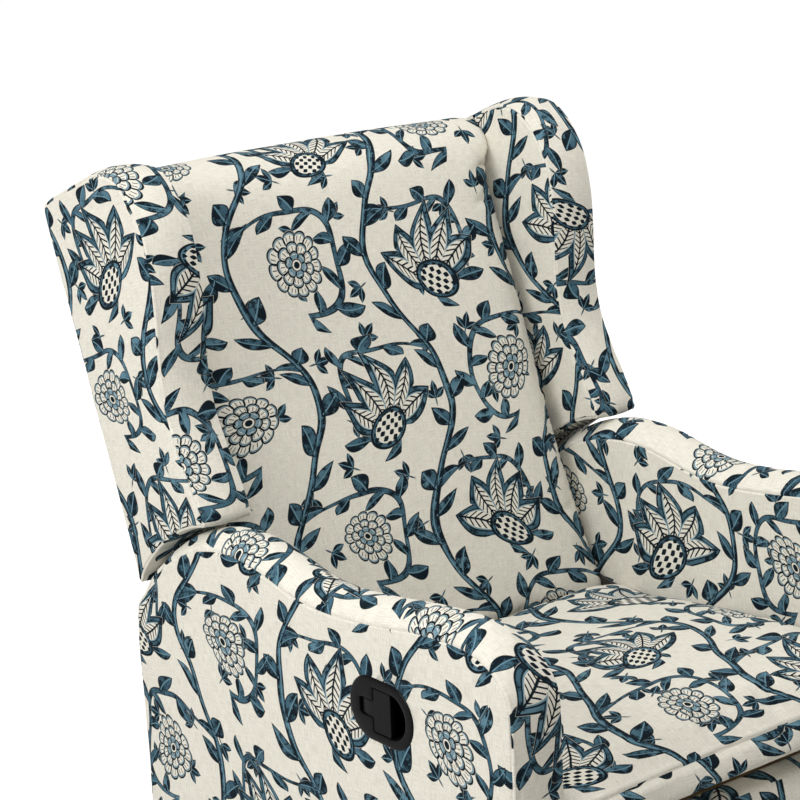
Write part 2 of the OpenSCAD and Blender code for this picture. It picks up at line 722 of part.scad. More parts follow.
// Mechanism plate against an arm's inner face, with the ledge that the seat's side rail slides on
plate_low = rail_top + cross_board_h + 1;
plate_front = arm_front - 145;
pivot_boss_r = recline_pin_r * 3;
ledge_front = plate_front + 100;
ledge_rear = 44;
module side_plate() {
    difference() {
        union() {
            side_slab(side_in, arm_in) polygon([
                [-plate_front, plate_low], [pivot_y + 34, plate_low], [pivot_y + 34, pivot_z - 30],
                [pivot_y + pivot_boss_r, pivot_z + 4], [pivot_y - pivot_boss_r, pivot_z + 4],
                [pivot_y - 60, pivot_z - 60], [-plate_front, seat_z(-plate_front - crease_y, rail_z)]
            ]);
            rod_x(pivot_boss_r, side_in, arm_in, pivot_y, pivot_z);
            translate([0, crease_y, crease_z]) rotate([-seat_slope, 0, 0])
                block(side_rail_in + 10, arm_in, -ledge_front, -ledge_rear,
                      rail_z - rub_gap - ledge_t, rail_z - rub_gap);
        }
        rod_x(recline_pin_r, side_in - 1, arm_in + 1, pivot_y, pivot_z);
    }
}
module side_plate_left() {
    color(STEEL) in_chair() side_plate();
}
lever_y = -185;
lever_z = plate_low + 12;
lever_reach = 26;
lever_pin_r = 4;
cable_r = 2.5;
module side_plate_right() {
    color(STEEL) in_chair() {
        difference() {
            mirror([1, 0, 0]) side_plate();
            rod_x(cable_r + 1.5, -arm_in - 1, -side_in + 1, lever_y - lever_reach, lever_z);
        }
        rod_x(lever_pin_r, -side_in - 1, -side_in + 12, lever_y, lever_z);
    }
}
module recline_pins() {
    color(ZINC) in_chair() mirror_x() {
        rod_x(recline_pin_r, hinge_in - 2, arm_in, pivot_y, pivot_z);
        rod_x(recline_pin_r + 3, hinge_in - 2 - rub_gap, hinge_in - rub_gap, pivot_y, pivot_z);
    }
}
module arm_left() {
    color(CLOTH) in_chair() arm_shape();
}

// Release cup in the sitter's right arm. The opening is a wide mouth with a narrow slot behind it
mouth_r = cup_h / 2 - 12;
mouth_fwd = cup_len / 2 - 13.5 - mouth_r;
mouth_back = 15;
slot_back = 40;
slot_half = 11;
module cup_mouth(g) {
    translate([-mouth_fwd, 0]) circle(r = mouth_r + g, $fn = 64);
    translate([-mouth_fwd, -mouth_r - g]) square([mouth_fwd + mouth_back + g, (mouth_r + g) * 2]);
    translate([0, -slot_half - g]) square([slot_back + g, (slot_half + g) * 2]);
}
module cup_flange() {
    r = cup_h / 2;
    square([cup_len - cup_h, cup_h], center = true);
    for (s = [-1, 1]) translate([s * (cup_len - cup_h) / 2, 0]) circle(r = r, $fn = 96);
}
module at_cup() {
    translate([0, -cup_y, cup_z]) children();
}
paddle_pin_r = 2;
paddle_pin_y = slot_back - 5;
paddle_pin_x = -arm_out + 3;
module paddle_pin(r, half) {
    translate([paddle_pin_x, paddle_pin_y, -half]) cylinder(r = r, h = half * 2, $fn = 32);
}
module latch_cup() {
    color(PLASTIC) in_chair() at_cup() difference() {
        union() {
            side_slab(-arm_out - plastic_t, -arm_out) cup_flange();
            side_slab(-arm_out - 1, -arm_out + cup_depth + plastic_t) cup_mouth(plastic_t);
        }
        side_slab(-arm_out - plastic_t - 1, -arm_out + cup_depth) cup_mouth(0);
        paddle_pin(paddle_pin_r + pin_clear, slot_half + 2);
    }
}
module arm_right() {
    color(CLOTH) in_chair() difference() {
        mirror([1, 0, 0]) arm_shape();
        at_cup() side_slab(-arm_out - 20, -arm_out + cup_depth + plastic_t) cup_mouth(plastic_t);
        cable_ways();
    }
}
module arm_board_left() {
    color(TIMBER) in_chair() arm_panel_shape();
}
module arm_board_right() {
    color(TIMBER) in_chair() difference() {
        mirror([1, 0, 0]) arm_panel_shape();
        cable_ways();
    }
}

// Release cable, from the cup down inside the arm to the lever. Its points are [x, z] in the arm
cable_top = cup_z - mouth_r - plastic_t;
cable_x = -arm_out + 14;
bend_r = arm_t - 15;
cable_route = concat(
    [[cable_x, cable_top], [cable_x, (cable_top + lever_z + bend_r) / 2]],
    arc([cable_x + bend_r, lever_z + bend_r], bend_r, 180, 270, 8),
    [[-side_in + 5.6, lever_z]]
);
module cable_ways() {
    y = lever_y - lever_reach;
    block(cable_x - 5, cable_x + 16, y - 5, y + 5, lever_z, cable_top + 1);
    block(cable_x - 5, -arm_in + 1, y - 5, y + 5, lever_z - 6, lever_z + bend_r + 2);
}
function cable_ring(i) = let (n = len(cable_route), a = cable_route[max(0, i - 1)])
    let (b = cable_route[min(n - 1, i + 1)], d = (b - a) / norm(b - a), c = cable_route[i])
    [for (k = [7:-1:0]) let (u = cable_r * cos(45 * k), v = cable_r * sin(45 * k))
        [c[0] - d[1] * u, lever_y - lever_reach + v, c[1] + d[0] * u]];
module release_cable() {
    n = len(cable_route);
    y = lever_y - lever_reach;
    color(PLASTIC) in_chair() skin([for (i = [0:n - 1]) cable_ring(i)],
        [cable_route[0][0], y, cable_route[0][1]], [cable_route[n - 1][0], y, cable_route[n - 1][1]]);
}
module release_lever() {
    color(ZINC) in_chair() difference() {
        side_slab(-side_in + 5.6, -side_in + 9.6) {
            translate([lever_y, lever_z]) circle(r = 9, $fn = 40);
            translate([lever_y - lever_reach, lever_z]) circle(r = 6, $fn = 40);
            translate([lever_y - lever_reach, lever_z - 6]) square([lever_reach, 12]);
        }
        rod_x(lever_pin_r + pin_clear, -side_in + 4, -side_in + 11, lever_y, lever_z);
    }
}
module latch_paddle() {
    x0 = -arm_out + 0.5;
    color(PLASTIC) in_chair() at_cup() {
        side_slab(x0, x0 + 4) {
            translate([-mouth_fwd, -mouth_r + 1.5])
                square([mouth_fwd + mouth_back - 1, (mouth_r - 1.5) * 2]);
            translate([0, -slot_half + 1]) square([slot_back - 1, (slot_half - 1) * 2]);
        }
        paddle_pin(paddle_pin_r, slot_half + 1.5);
    }
}
module rear_panel() {
    color(CLOTH) in_chair()
        block(-arm_in, arm_in, arm_rear - 28, arm_rear - 2, arm_bottom + 3, pivot_z - 65);
}

// Back assembly
module back_post() {
    color(TIMBER) in_back() {
        block(frame_half - post_w, frame_half, post_front, post_rear, post_low, post_high);
        block(frame_half - 1, wing_in, post_front, post_rear, rabbet_low, post_high);
    }
}
module back_post_left() {
    back_post();
}
module back_post_right() {
    mirror([1, 0, 0]) back_post();
}
module back_cross_rails() {
    half = frame_half - post_w;
    for (q = [post_low, post_high - back_rail_h])
        color(TIMBER) in_back() block(-half, half, post_front, post_rear, q, q + back_rail_h);
}

// Zigzag spring of bars and half loops, flat, running along y from y0 to y1
module zigzag(y0, y1) {
    r = 11;
    reach = 17;
    n = floor((y1 - y0) / (2 * r)) - 1;
    start = y0 + (y1 - y0 - 2 * r * n) / 2;
    translate([-wire_d / 2, y0]) square([wire_d, start - y0 + wire_d / 2]);
    translate([-wire_d / 2, start + 2 * r * n - wire_d / 2])
        square([wire_d, y1 - start - 2 * r * n + wire_d / 2]);
    for (i = [0:n]) {
        lo = i == 0 ? 0 : -reach;
        hi = i == n ? 0 : reach;
        flip = i % 2 == 0 ? 1 : -1;
        x0 = min(flip * lo, flip * hi);
        x1 = max(flip * lo, flip * hi);
        translate([x0, start + 2 * r * i - wire_d / 2]) square([x1 - x0, wire_d]);
    }
    for (i = [0:n - 1]) {
        side = i % 2 == 0 ? 1 : -1;
        translate([side * reach, start + 2 * r * i + r]) difference() {
            circle(r = r + wire_d / 2, $fn = 32);
            circle(r = r - wire_d / 2, $fn = 32);
            translate([side > 0 ? -2 * r : 0, -2 * r]) square([2 * r, 4 * r]);
        }
    }
}
module back_springs() {
    half = frame_half - post_w;
    span = post_high - post_low - 2 * back_rail_h;
    for (i = [0:back_springs_n - 1])
        color(ZINC) in_back()
            translate([0, post_front + 6, post_low + back_rail_h + span * (i + 0.5) / back_springs_n])
            rotate([90, 0, 0]) linear_extrude(wire_d) rotate([0, 0, -90]) zigzag(-half, half);
}
module wing_left() {
    color(CLOTH) in_back() wing_shape();
}
module wing_right() {
    color(CLOTH) in_back() mirror([1, 0, 0]) wing_shape();
}
module wing_board_left() {
    color(TIMBER) in_back() wing_panel_shape();
}
module wing_board_right() {
    color(TIMBER) in_back() mirror([1, 0, 0]) wing_panel_shape();
}
module outside_back() {
    color(CLOTH) in_back() block(-hinge_out, hinge_out, post_rear, back_rear, 55, back_h - 7);
}
// Curved skirt below the outside back. It turns about the recline pivot, just ahead of the rear panel
skirt_r = arm_rear - 28 - pivot_y - 5;
skirt_t = 5;
skirt_high = asin(back_rear / skirt_r);
skirt_low = skirt_high + 40;
module back_skirt() {
    color(CLOTH) in_back() side_slab(-hinge_out, hinge_out) difference() {
        polygon(concat(arc([0, 0], skirt_r, 90 - skirt_high, 90 - skirt_low, 24),
                       arc([0, 0], skirt_r - skirt_t, 90 - skirt_low, 90 - skirt_high, 24)));
        translate([0, -skirt_r * 2]) square([back_rear, skirt_r * 4]);
    }
}
module hinge_plate() {
    color(STEEL) in_back() difference() {
        hull() {
            rod_x(16, hinge_in, hinge_out, 0, 0);
            block(hinge_in, hinge_out, post_front, post_rear, post_low, 90);
        }
        rod_x(recline_pin_r + pin_clear, hinge_in - 1, hinge_out + 1, 0, 0);
    }
}
module hinge_plate_left() {
    hinge_plate();
}
module hinge_plate_right() {
    mirror([1, 0, 0]) hinge_plate();
}

// Seat frame
module seat_front_rail() {
    color(TIMBER) in_seat()
        block(-side_rail_in, side_rail_in, rail_front, rail_front + seat_rail_t, rail_z, -seat_t);
}
module seat_rear_rail() {
    color(TIMBER) in_seat()
        block(-side_rail_in, side_rail_in, rail_back - seat_rail_t, rail_back, rail_z, -seat_t);
}
module seat_side_rail() {
    color(TIMBER) in_seat() block(side_rail_in, side_rail_out, rail_front, rail_back, rail_z, -seat_t);
}
module seat_side_rail_left() {
    seat_side_rail();
}
module seat_side_rail_right() {
    mirror([1, 0, 0]) seat_side_rail();
}
module seat_springs() {
    pitch = 2 * side_rail_in / seat_springs_n;
    for (i = [0:seat_springs_n - 1])
        color(ZINC) in_seat() translate([-side_rail_in + pitch * (i + 0.5), 0, -seat_t - wire_d - 4])
            linear_extrude(wire_d) zigzag(rail_front + seat_rail_t, rail_back - seat_rail_t);
}

// Footrest linkage, drawn stowed in the chair frame
rest_p = [-rest_pivot_y, rest_pivot_z];
elbow_p = [-elbow_y, elbow_z];
board_p = [-board_pivot_y, board_pivot_z];
rest_eye = link_w / 2 + 1;
bracket_half = 40;
bracket_y = -(rest_pivot_y + crease_y) * cos(seat_slope) + (crease_z - rest_pivot_z) * sin(seat_slope);
module footrest_brackets() {
    color(STEEL) in_chair() mirror_x() difference() {
        hull() {
            rod_x(rest_eye + 3, bracket_in, bracket_out, rest_p[0], rest_p[1]);
            translate([0, crease_y, crease_z]) rotate([-seat_slope, 0, 0])
                block(bracket_in, bracket_out, bracket_y - bracket_half, bracket_y + bracket_half,
                      rail_z + 4, -seat_t - 6);
        }
        rod_x(rest_pin_r, bracket_in - 1, bracket_out + 1, rest_p[0], rest_p[1]);
    }
}
module link_pin(x0, x1, p) {
    rod_x(rest_pin_r, x0, x1, p[0], p[1]);
    rod_x(rest_pin_r + 3, x0 - 2, x0 + 0.01, p[0], p[1]);
}
module footrest_base_pins() {
    color(ZINC) in_chair() mirror_x() link_pin(low_in - rub_gap, bracket_out, rest_p);
}
module footrest_link(a, b, x0, x1, bore_a, bore_b) {
    d = b - a;
    difference() {
        side_slab(x0, x1) {
            for (p = [a, b]) translate(p) circle(r = rest_eye, $fn = 40);
            translate(a) rotate([0, 0, atan2(d[1], d[0])])
                translate([0, -link_w / 2]) square([norm(d), link_w]);
        }
        rod_x(bore_a, x0 - 1, x1 + 1, a[0], a[1]);
        rod_x(bore_b, x0 - 1, x1 + 1, b[0], b[1]);
        children();
    }
}
torque_p = [-rest_pivot_y - torque_at * cos(lower_angle), rest_pivot_z + torque_at * sin(lower_angle)];
module footrest_lower_links() {
    color(STEEL) in_chair() mirror_x()
        footrest_link(rest_p, elbow_p, low_in, low_out, rest_pin_r + pin_clear, rest_pin_r)
            rod_x(torque_r, low_in - 1, low_out + 1, torque_p[0], torque_p[1]);
}
module footrest_torque_tube() {
    color(STEEL) in_chair() difference() {
        rod_x(torque_r, -low_out, low_out, torque_p[0], torque_p[1]);
        rod_x(torque_r - 2, -low_out - 1, low_out + 1, torque_p[0], torque_p[1]);
    }
}
module footrest_elbow_pins() {
    color(ZINC) in_chair() mirror_x() link_pin(up_in - rub_gap, low_out, elbow_p);
}
module footrest_upper_links() {
    color(STEEL) in_chair() mirror_x()
        footrest_link(elbow_p, board_p, up_in, up_out, rest_pin_r + pin_clear, rest_pin_r + pin_clear);
}
module footrest_board() {
    color(TIMBER) in_chair()
        block(-cushion_half + 12, cushion_half - 12, -pad_rear, -board_rear, pad_bottom + 12, pad_top - 12);
}
module footrest_board_brackets() {
    color(STEEL) in_chair() mirror_x() difference() {
        hull() {
            rod_x(rest_eye, tab_in, tab_out, board_p[0], board_p[1]);
            block(tab_in, tab_out, -board_rear, -board_rear + 3, board_p[1] - 45, board_p[1] + 45);
        }
        rod_x(rest_pin_r, tab_in - 1, tab_out + 1, board_p[0], board_p[1]);
    }
}
module footrest_board_pins() {
    color(ZINC) in_chair() mirror_x() {
        rod_x(rest_pin_r, tab_in, up_out + rub_gap, board_p[0], board_p[1]);
        rod_x(rest_pin_r + 3, tab_in - 2, tab_in, board_p[0], board_p[1]);
    }
}

base_ring();
base_cross_bars();
floor_glides();
bearing_lower_plate();
bearing_balls();
swivel_bolt();
bearing_upper_plate();
cross_rails();
glider_side_left();
glider_side_right();
upper_link_pins();
turntable_bolts();
front_swing_links();
rear_swing_links();
chair_rail_left();
chair_rail_right();
lower_link_pins();
front_cross_board();
rear_cross_board();
side_plate_left();
side_plate_right();
recline_pins();
arm_left();
arm_right();
arm_board_left();
arm_board_right();
rear_panel();
latch_cup();
release_cable();
release_lever();
latch_paddle();
back_post_left();
back_post_right();
back_cross_rails();
back_springs();
back_cushion();
wing_left();
wing_right();
wing_board_left();
wing_board_right();
outside_back();
back_skirt();
hinge_plate_left();
hinge_plate_right();
seat_front_rail();
seat_rear_rail();
seat_side_rail_left();
seat_side_rail_right();
seat_springs();
seat_cushion();
footrest_brackets();
footrest_base_pins();
footrest_lower_links();
footrest_torque_tube();
footrest_elbow_pins();
footrest_upper_links();
footrest_board();
footrest_board_brackets();
footrest_board_pins();
footrest_pad();
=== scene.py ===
# %% [markdown]
# # A winged swivel glider, covered in printed linen
#
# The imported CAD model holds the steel, the boards, the pivots and plain solids for the padding. This lesson
# dresses it: it cuts linen covers for the arms, wings, seat, back and footrest, prints a trailing vine on
# them, finishes the steel, zinc, timber and black plastic, and lights the chair in a plain white studio.
# Everything is in metres, in the frame of the CAD: +Z is up, the chair faces -Y, and the origin is on the
# floor, on the swivel axis.

# %% The frame to build around
import json
from math import acos, asin, cos, pi, radians, sin, tan

import bmesh
import bpy
import numpy as np
from mathutils import Matrix, Vector, noise


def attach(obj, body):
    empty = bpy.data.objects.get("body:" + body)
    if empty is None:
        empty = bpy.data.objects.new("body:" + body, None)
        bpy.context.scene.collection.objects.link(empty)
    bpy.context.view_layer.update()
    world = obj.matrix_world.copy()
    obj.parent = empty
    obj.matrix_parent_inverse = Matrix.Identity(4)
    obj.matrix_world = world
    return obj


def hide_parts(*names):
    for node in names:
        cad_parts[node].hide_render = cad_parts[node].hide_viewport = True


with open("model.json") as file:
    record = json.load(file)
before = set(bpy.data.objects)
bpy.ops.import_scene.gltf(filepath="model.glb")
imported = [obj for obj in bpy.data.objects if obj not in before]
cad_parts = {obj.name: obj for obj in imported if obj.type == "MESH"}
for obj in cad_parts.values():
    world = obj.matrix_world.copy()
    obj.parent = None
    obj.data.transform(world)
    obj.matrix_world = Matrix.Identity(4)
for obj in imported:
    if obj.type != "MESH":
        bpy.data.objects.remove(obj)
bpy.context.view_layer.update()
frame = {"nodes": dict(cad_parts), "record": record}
scene = bpy.context.scene

# %% [markdown]
# ## Three tilted drawing boards
#
# An upholsterer works on each part of a chair square to that part, not to the room. The body leans back a
# little on its glider, the back is raked against the body, and the seat slopes. Covers could be drawn in the
# room and tilted afterwards as objects, but then each tilt would have to be undone wherever two of them meet.
# So each part gets a matrix: a cover is drawn flat, as [y, z] in its own board, and set into the room once. The
# numbers are the same lean, rake and pivots that the CAD is built on.

# %% Drawing boards
LEAN = radians(3.7)
RAKE = radians(20.5)
SEAT_SLOPE = radians(5.7)
PIVOT = Vector((0, 0.090, 0.370))
BACK_FACE = 0.045
CREASE_UP = 0.047
SOFT_GAP = 0.0005


def board(tilt, origin=(0, 0, 0), inside=Matrix.Identity(4)):
    """A drawing board tilted back by tilt about X, with its origin at a point of the board inside."""
    return inside @ Matrix.Translation(origin) @ Matrix.Rotation(-tilt, 4, "X")


crease = Vector((0, PIVOT.y + (BACK_FACE - SOFT_GAP) * cos(RAKE) + CREASE_UP * sin(RAKE),
                 PIVOT.z - (BACK_FACE - SOFT_GAP) * sin(RAKE) + CREASE_UP * cos(RAKE)))
CHAIR = board(LEAN)
BACK = board(RAKE, PIVOT, CHAIR)
SEAT = board(SEAT_SLOPE, crease, CHAIR)
print("crease between seat and back:", [round(v, 3) for v in CHAIR @ crease])

# %% [markdown]
# ## Camera
#
# A camera can be placed by eye, but then it has to be matched again after each change of size. This one's
# place was worked out from the vanishing lines of the arms and the back. It stands two and a half metres off
# the sitter's right front corner, well above the top of the back, with a long lens that cuts the chair off
# below the seat.

# %% Camera
CAMERA_AT = Vector((-2.024, -2.273, 1.795))
CAMERA_TURN = radians(-38.522)
CAMERA_RAISE = radians(18.708)
behind = Vector((sin(CAMERA_TURN) * cos(CAMERA_RAISE), -cos(CAMERA_TURN) * cos(CAMERA_RAISE), sin(CAMERA_RAISE)))
camera = bpy.data.objects.new("camera", bpy.data.cameras.new("camera"))
camera.location = CAMERA_AT
camera.rotation_euler = (-behind).to_track_quat("-Z", "Y").to_euler()
camera.data.lens = 112.5
camera.data.sensor_width = 36
camera.data.clip_end = 50
scene.collection.objects.link(camera)
scene.camera = camera
print("camera looks along", [round(v, 3) for v in -behind])

# %% [markdown]
# ## Arithmetic on a surface
#
# The linen's print could be an image, but an image blurs close up and has to be drawn somewhere else. Here
# shader nodes draw it, from nothing but a place on the cloth. Hundreds of small sums are easier to read as sums
# than as wires, so a field stands for one socket of the node tree and takes plain arithmetic. Everything drawn
# below is made from such fields: how far a point is from a stem, or from the edge of a petal.

# %% Fields
EDGE_SOFTNESS = 0.0006


class Field:
    """A number that varies over a surface: a socket of a node tree, with ordinary arithmetic."""

    def __init__(self, tree, source):
        self.tree = tree
        self.source = source

    def node(self, operation, *inputs, clamp=False):
        maths = self.tree.nodes.new("ShaderNodeMath")
        maths.operation = operation
        maths.use_clamp = clamp
        for socket, value in zip(maths.inputs, inputs):
            if isinstance(value, Field):
                self.tree.links.new(value.source, socket)
            else:
                socket.default_value = value
        return Field(self.tree, maths.outputs[0])

    def __rsub__(self, other):
        return self.node("SUBTRACT", other, self)

    def clamp(self):
        return self.node("MULTIPLY", self, 1.0, clamp=True)

    def inside(self, limit):
        """1 where the field is below the limit, 0 above, with a slightly soft edge."""
        return self.node("MULTIPLY_ADD", limit - self, 1 / EDGE_SOFTNESS, 0.5, clamp=True)

    def near(self, place, reach):
        """1 within reach of the place where the field has that value."""
        return abs(self - place).inside(reach)


SUMS = {"__add__": "ADD", "__sub__": "SUBTRACT", "__mul__": "MULTIPLY", "__truediv__": "DIVIDE",
        "__abs__": "ABSOLUTE", "__pow__": "POWER", "floor": "FLOOR", "round": "ROUND", "fract": "FRACT",
        "sin": "SINE", "cos": "COSINE", "sqrt": "SQRT", "min": "MINIMUM", "max": "MAXIMUM",
        "over": "GREATER_THAN", "under": "LESS_THAN", "angle": "ARCTAN2"}
for method, operation in SUMS.items():
    setattr(Field, method, lambda field, *others, operation=operation: field.node(operation, field, *others))


def polar(x, y):
    """How far a point is from the origin, and in which direction."""
    return (x * x + y * y).sqrt(), y.angle(x)


def leaf_edge(along, across, length, half_width):
    """How far outside a pointed leaf a point lies. The leaf runs from along = 0 to its length."""
    swell = (along.node("DIVIDE", along, length, clamp=True) * pi).sin() * half_width
    past = (abs(along - length / 2) - length / 2).max(0.0)
    return abs(across) - swell + past


def turned(x, y, angle):
    """The point (x, y) in axes turned by a fixed angle."""
    return x * cos(angle) + y * sin(angle), y * cos(angle) - x * sin(angle)


def leaf_row(along, across, spacing, length, half_width, lean):
    """Leaves on both sides of a stem, each leaning off it: how far outside a leaf, and where across it."""
    shifted = along + across.over(0.0) * (spacing / 2)
    local = (shifted / spacing).fract() * spacing - spacing / 4
    a, b = turned(local, abs(across), lean)
    return leaf_edge(a, b, length, half_width), b


print("sums that a field can do:", len(SUMS))

# %% [markdown]
# All materials here need the same few things: a noise over a place, a colour that goes from one tone to
# another, and bump from a field of heights. They could be wired anew for each material, but as functions they
# let a material read like its recipe.

# %% Nodes and fields
def linked(tree, kind, *sources):
    """A new node of a kind, with its first sockets linked to the sources."""
    node = tree.nodes.new("ShaderNode" + kind)
    for source, socket in zip(sources, node.inputs):
        tree.links.new(source, socket)
    return node


def parts_of(tree, kind, source):
    """The parts of a place (XYZ) or of a colour (Color), as fields."""
    return [Field(tree, output) for output in linked(tree, "Separate" + kind, source).outputs]


def stretched(tree, place, stretch):
    """The place, stretched along each axis, so that a grain can run one way."""
    scaled = linked(tree, "VectorMath", place)
    scaled.operation = "MULTIPLY"
    scaled.inputs[1].default_value = stretch
    return scaled.outputs[0]


def noise_texture(tree, place, scale, detail=1.0):
    """A noise texture over a place."""
    texture = linked(tree, "TexNoise", place)
    texture.inputs["Scale"].default_value = scale
    texture.inputs["Detail"].default_value = detail
    return texture


def noise_field(tree, place, scale, detail=1.0):
    """A noise over a place, as a field from 0 to 1."""
    return Field(tree, noise_texture(tree, place, scale, detail).outputs["Fac"])


def mixed(tree, amount, below, above):
    """A colour that goes from below to above with a field."""
    mix = tree.nodes.new("ShaderNodeMix")
    mix.data_type = "RGBA"
    tree.links.new(amount.source, mix.inputs["Factor"])
    for socket, colour in ((mix.inputs[6], below), (mix.inputs[7], above)):
        if isinstance(colour, tuple):
            socket.default_value = colour
        else:
            tree.links.new(colour, socket)
    return mix.outputs[2]


def new_material(name, roughness):
    """A material with one Principled shader: the material, its tree and the shader."""
    material = bpy.data.materials.new(name)
    material.use_nodes = True
    tree = material.node_tree
    shader = tree.nodes["Principled BSDF"]
    shader.inputs["Roughness"].default_value = roughness
    return material, tree, shader


def raise_by(tree, shader, height, strength, distance):
    """Bump from a field of heights."""
    bump = tree.nodes.new("ShaderNodeBump")
    bump.inputs["Strength"].default_value = strength
    bump.inputs["Distance"].default_value = distance
    tree.links.new(height.source, bump.inputs["Height"])
    tree.links.new(bump.outputs[0], shader.inputs["Normal"])


print("helpers:", *(f.__name__ for f in (linked, parts_of, stretched, noise_field, mixed, new_material, raise_by)))

# %% [markdown]
# ## The print
#
# A trailing vine is one of the oldest ways to fill a length of furnishing cloth: stems climb in long waves,
# a twig curls out of every bend, and each curl holds a flower. Two flowers take turns here, an open rose with
# three rings of petals and a fan of five pointed petals on a scaly cup. Trefoils are strewn between them.
# Because the waves repeat, one drawing of each flower, folded into every bend with floor() and fract(), serves
# the whole chair. A slow noise bends the grid first, so that no two flowers match and the lines look cut by
# hand into a printing block.

# %% The drawing
TEAL = (0.058, 0.132, 0.182, 1)
WASH = (0.120, 0.240, 0.312, 1)
SKY = (0.15, 0.285, 0.36, 1)
NAVY = (0.006, 0.013, 0.020, 1)
COLUMN = 0.225
ROW = 0.190
SWING = 0.044
LINE = 0.0012
STEM = 0.0046
CURL = 0.066
TWIG = 0.0030
WOBBLE = 0.062
STEM_SLOPE = 0.86
# Rows of leaves: their spacing, length, half width and lean.
STEM_LEAVES = (0.082, 0.046, 0.0105, radians(48))
CURL_LEAVES = (0.060, 0.036, 0.0086, radians(44))
# A twig is a circle that opens out past one angle and ends at another.
CURL_OPENS_FROM = 1.6
CURL_OPENS_BY = 0.040
CURL_ENDS = -1.9
ROSE_RINGS = ((6, 0.012, 0.0050, 0.0085, 0.0), (9, 0.023, 0.0055, 0.015, 0.7), (13, 0.035, 0.0060, 0.027, 0.3))
PETALS_EACH_SIDE = 2
PETAL_SPREAD = radians(30)
SPRIG_SIZE = 0.086


def lobes(turn, count, shift=0.0):
    """Runs from 0 between two petals to 1 at the middle of each petal."""
    return abs((turn * (count / 2) + shift).sin())


def rose(r, turn):
    """An open rose with three rings of petals: navy lines, pale fill, and how far outside it a point is.
    Each ring has a number of petals, its radius, their rise, where the gaps between them end, and a turn."""
    lines = r.inside(0.0045).max(r.near(0.0075, LINE * 0.7))
    fill = r.over(0.0085) * r.under(0.013)
    for count, base, rise, gap, shift in ROSE_RINGS:
        petals = lobes(turn, count, shift)
        edge = r - ((petals ** 0.5) * rise + base)
        gaps = (petals * r).inside(LINE * count / 2) * r.over(gap) * edge.inside(0.0)
        veins = lobes(turn, count * 3, shift).under(0.3) * r.over(gap + 0.003) * edge.inside(-0.0045)
        lines = lines.max(edge.near(0.0, LINE)).max(gaps).max(veins)
        fill = fill.max(edge.near(-0.0022, 0.0009))
    return lines, fill, edge


def fan_flower(x, y):
    """Pointed petals that spread from a scaly cup: navy lines, teal rim, pale heart and edge."""
    r, turn = polar(x, y)
    lean = pi / 2 - turn
    petal = (lean / PETAL_SPREAD).round().max(-PETALS_EACH_SIDE).min(PETALS_EACH_SIDE)
    away = lean - petal * PETAL_SPREAD
    along = r * away.cos()
    across = abs(r * away.sin())
    edge = leaf_edge(along, across, 0.118 - abs(petal) * 0.013, 0.0215)
    cup_r = ((x * x) * 0.8 + (y - 0.004) * (y - 0.004)).sqrt()
    cup = cup_r - 0.027
    scales = ((x * 420).sin() * (y * 420).sin()).over(0.12)
    veins = ((along + across) * 700).sin().over(0.55) * edge.inside(-0.0105)
    lines = edge.near(0.0, LINE).max(edge.near(-0.007, LINE * 0.8))
    lines = lines.max(across.inside(0.0014) * edge.inside(-0.003))
    lines = lines.max(veins) * cup.over(0.0)
    lines = lines.max(cup.near(0.0, LINE * 1.3)).max(scales * cup.inside(-0.003))
    rim = edge.inside(0.0) * edge.over(-0.007) * cup.over(0.0)
    heart = edge.near(-0.0085, 0.0012) * cup.over(0.0)
    return lines, rim.max(cup.inside(0.0) * cup.over(-0.006)), heart, edge.min(cup)


def sprigs(tree, place, size):
    """Trefoils scattered evenly, each turned its own way: how far outside one a point is, and its ribs."""
    spots = linked(tree, "TexVoronoi", place)
    spots.voronoi_dimensions = "2D"
    spots.inputs["Scale"].default_value = 1 / size
    spots.inputs["Randomness"].default_value = 0.45
    away = linked(tree, "VectorMath", place, spots.outputs["Position"])
    away.operation = "SUBTRACT"
    turn = parts_of(tree, "Color", spots.outputs["Color"])[0] * (2 * pi)
    x, y, _ = parts_of(tree, "XYZ", away.outputs[0])
    along = x * turn.cos() + y * turn.sin()
    across = abs(y * turn.cos() - x * turn.sin())
    side_along, side_across = turned(along, across, radians(52))
    edge = leaf_edge(along, across, 0.026, 0.0060)
    edge = edge.min(leaf_edge(side_along, side_across, 0.023, 0.0055))
    edge = edge.min(leaf_edge(along + 0.012, across, 0.016, 0.0013))
    return edge, across.min(abs(side_across))


print("petals in a rose:", sum(ring[0] for ring in ROSE_RINGS), "and in a fan:", 2 * PETALS_EACH_SIDE + 1)

# %% [markdown]
# The motifs are set out on two climbing stems and two bends, which then repeat. Printers cut one block for
# each ink, and the drawing is kept that way: one field each for the teal, the pale blue and the navy. What lies
# in front hides what is behind it: the flowers cover the twigs, and trefoils grow only on the open ground.

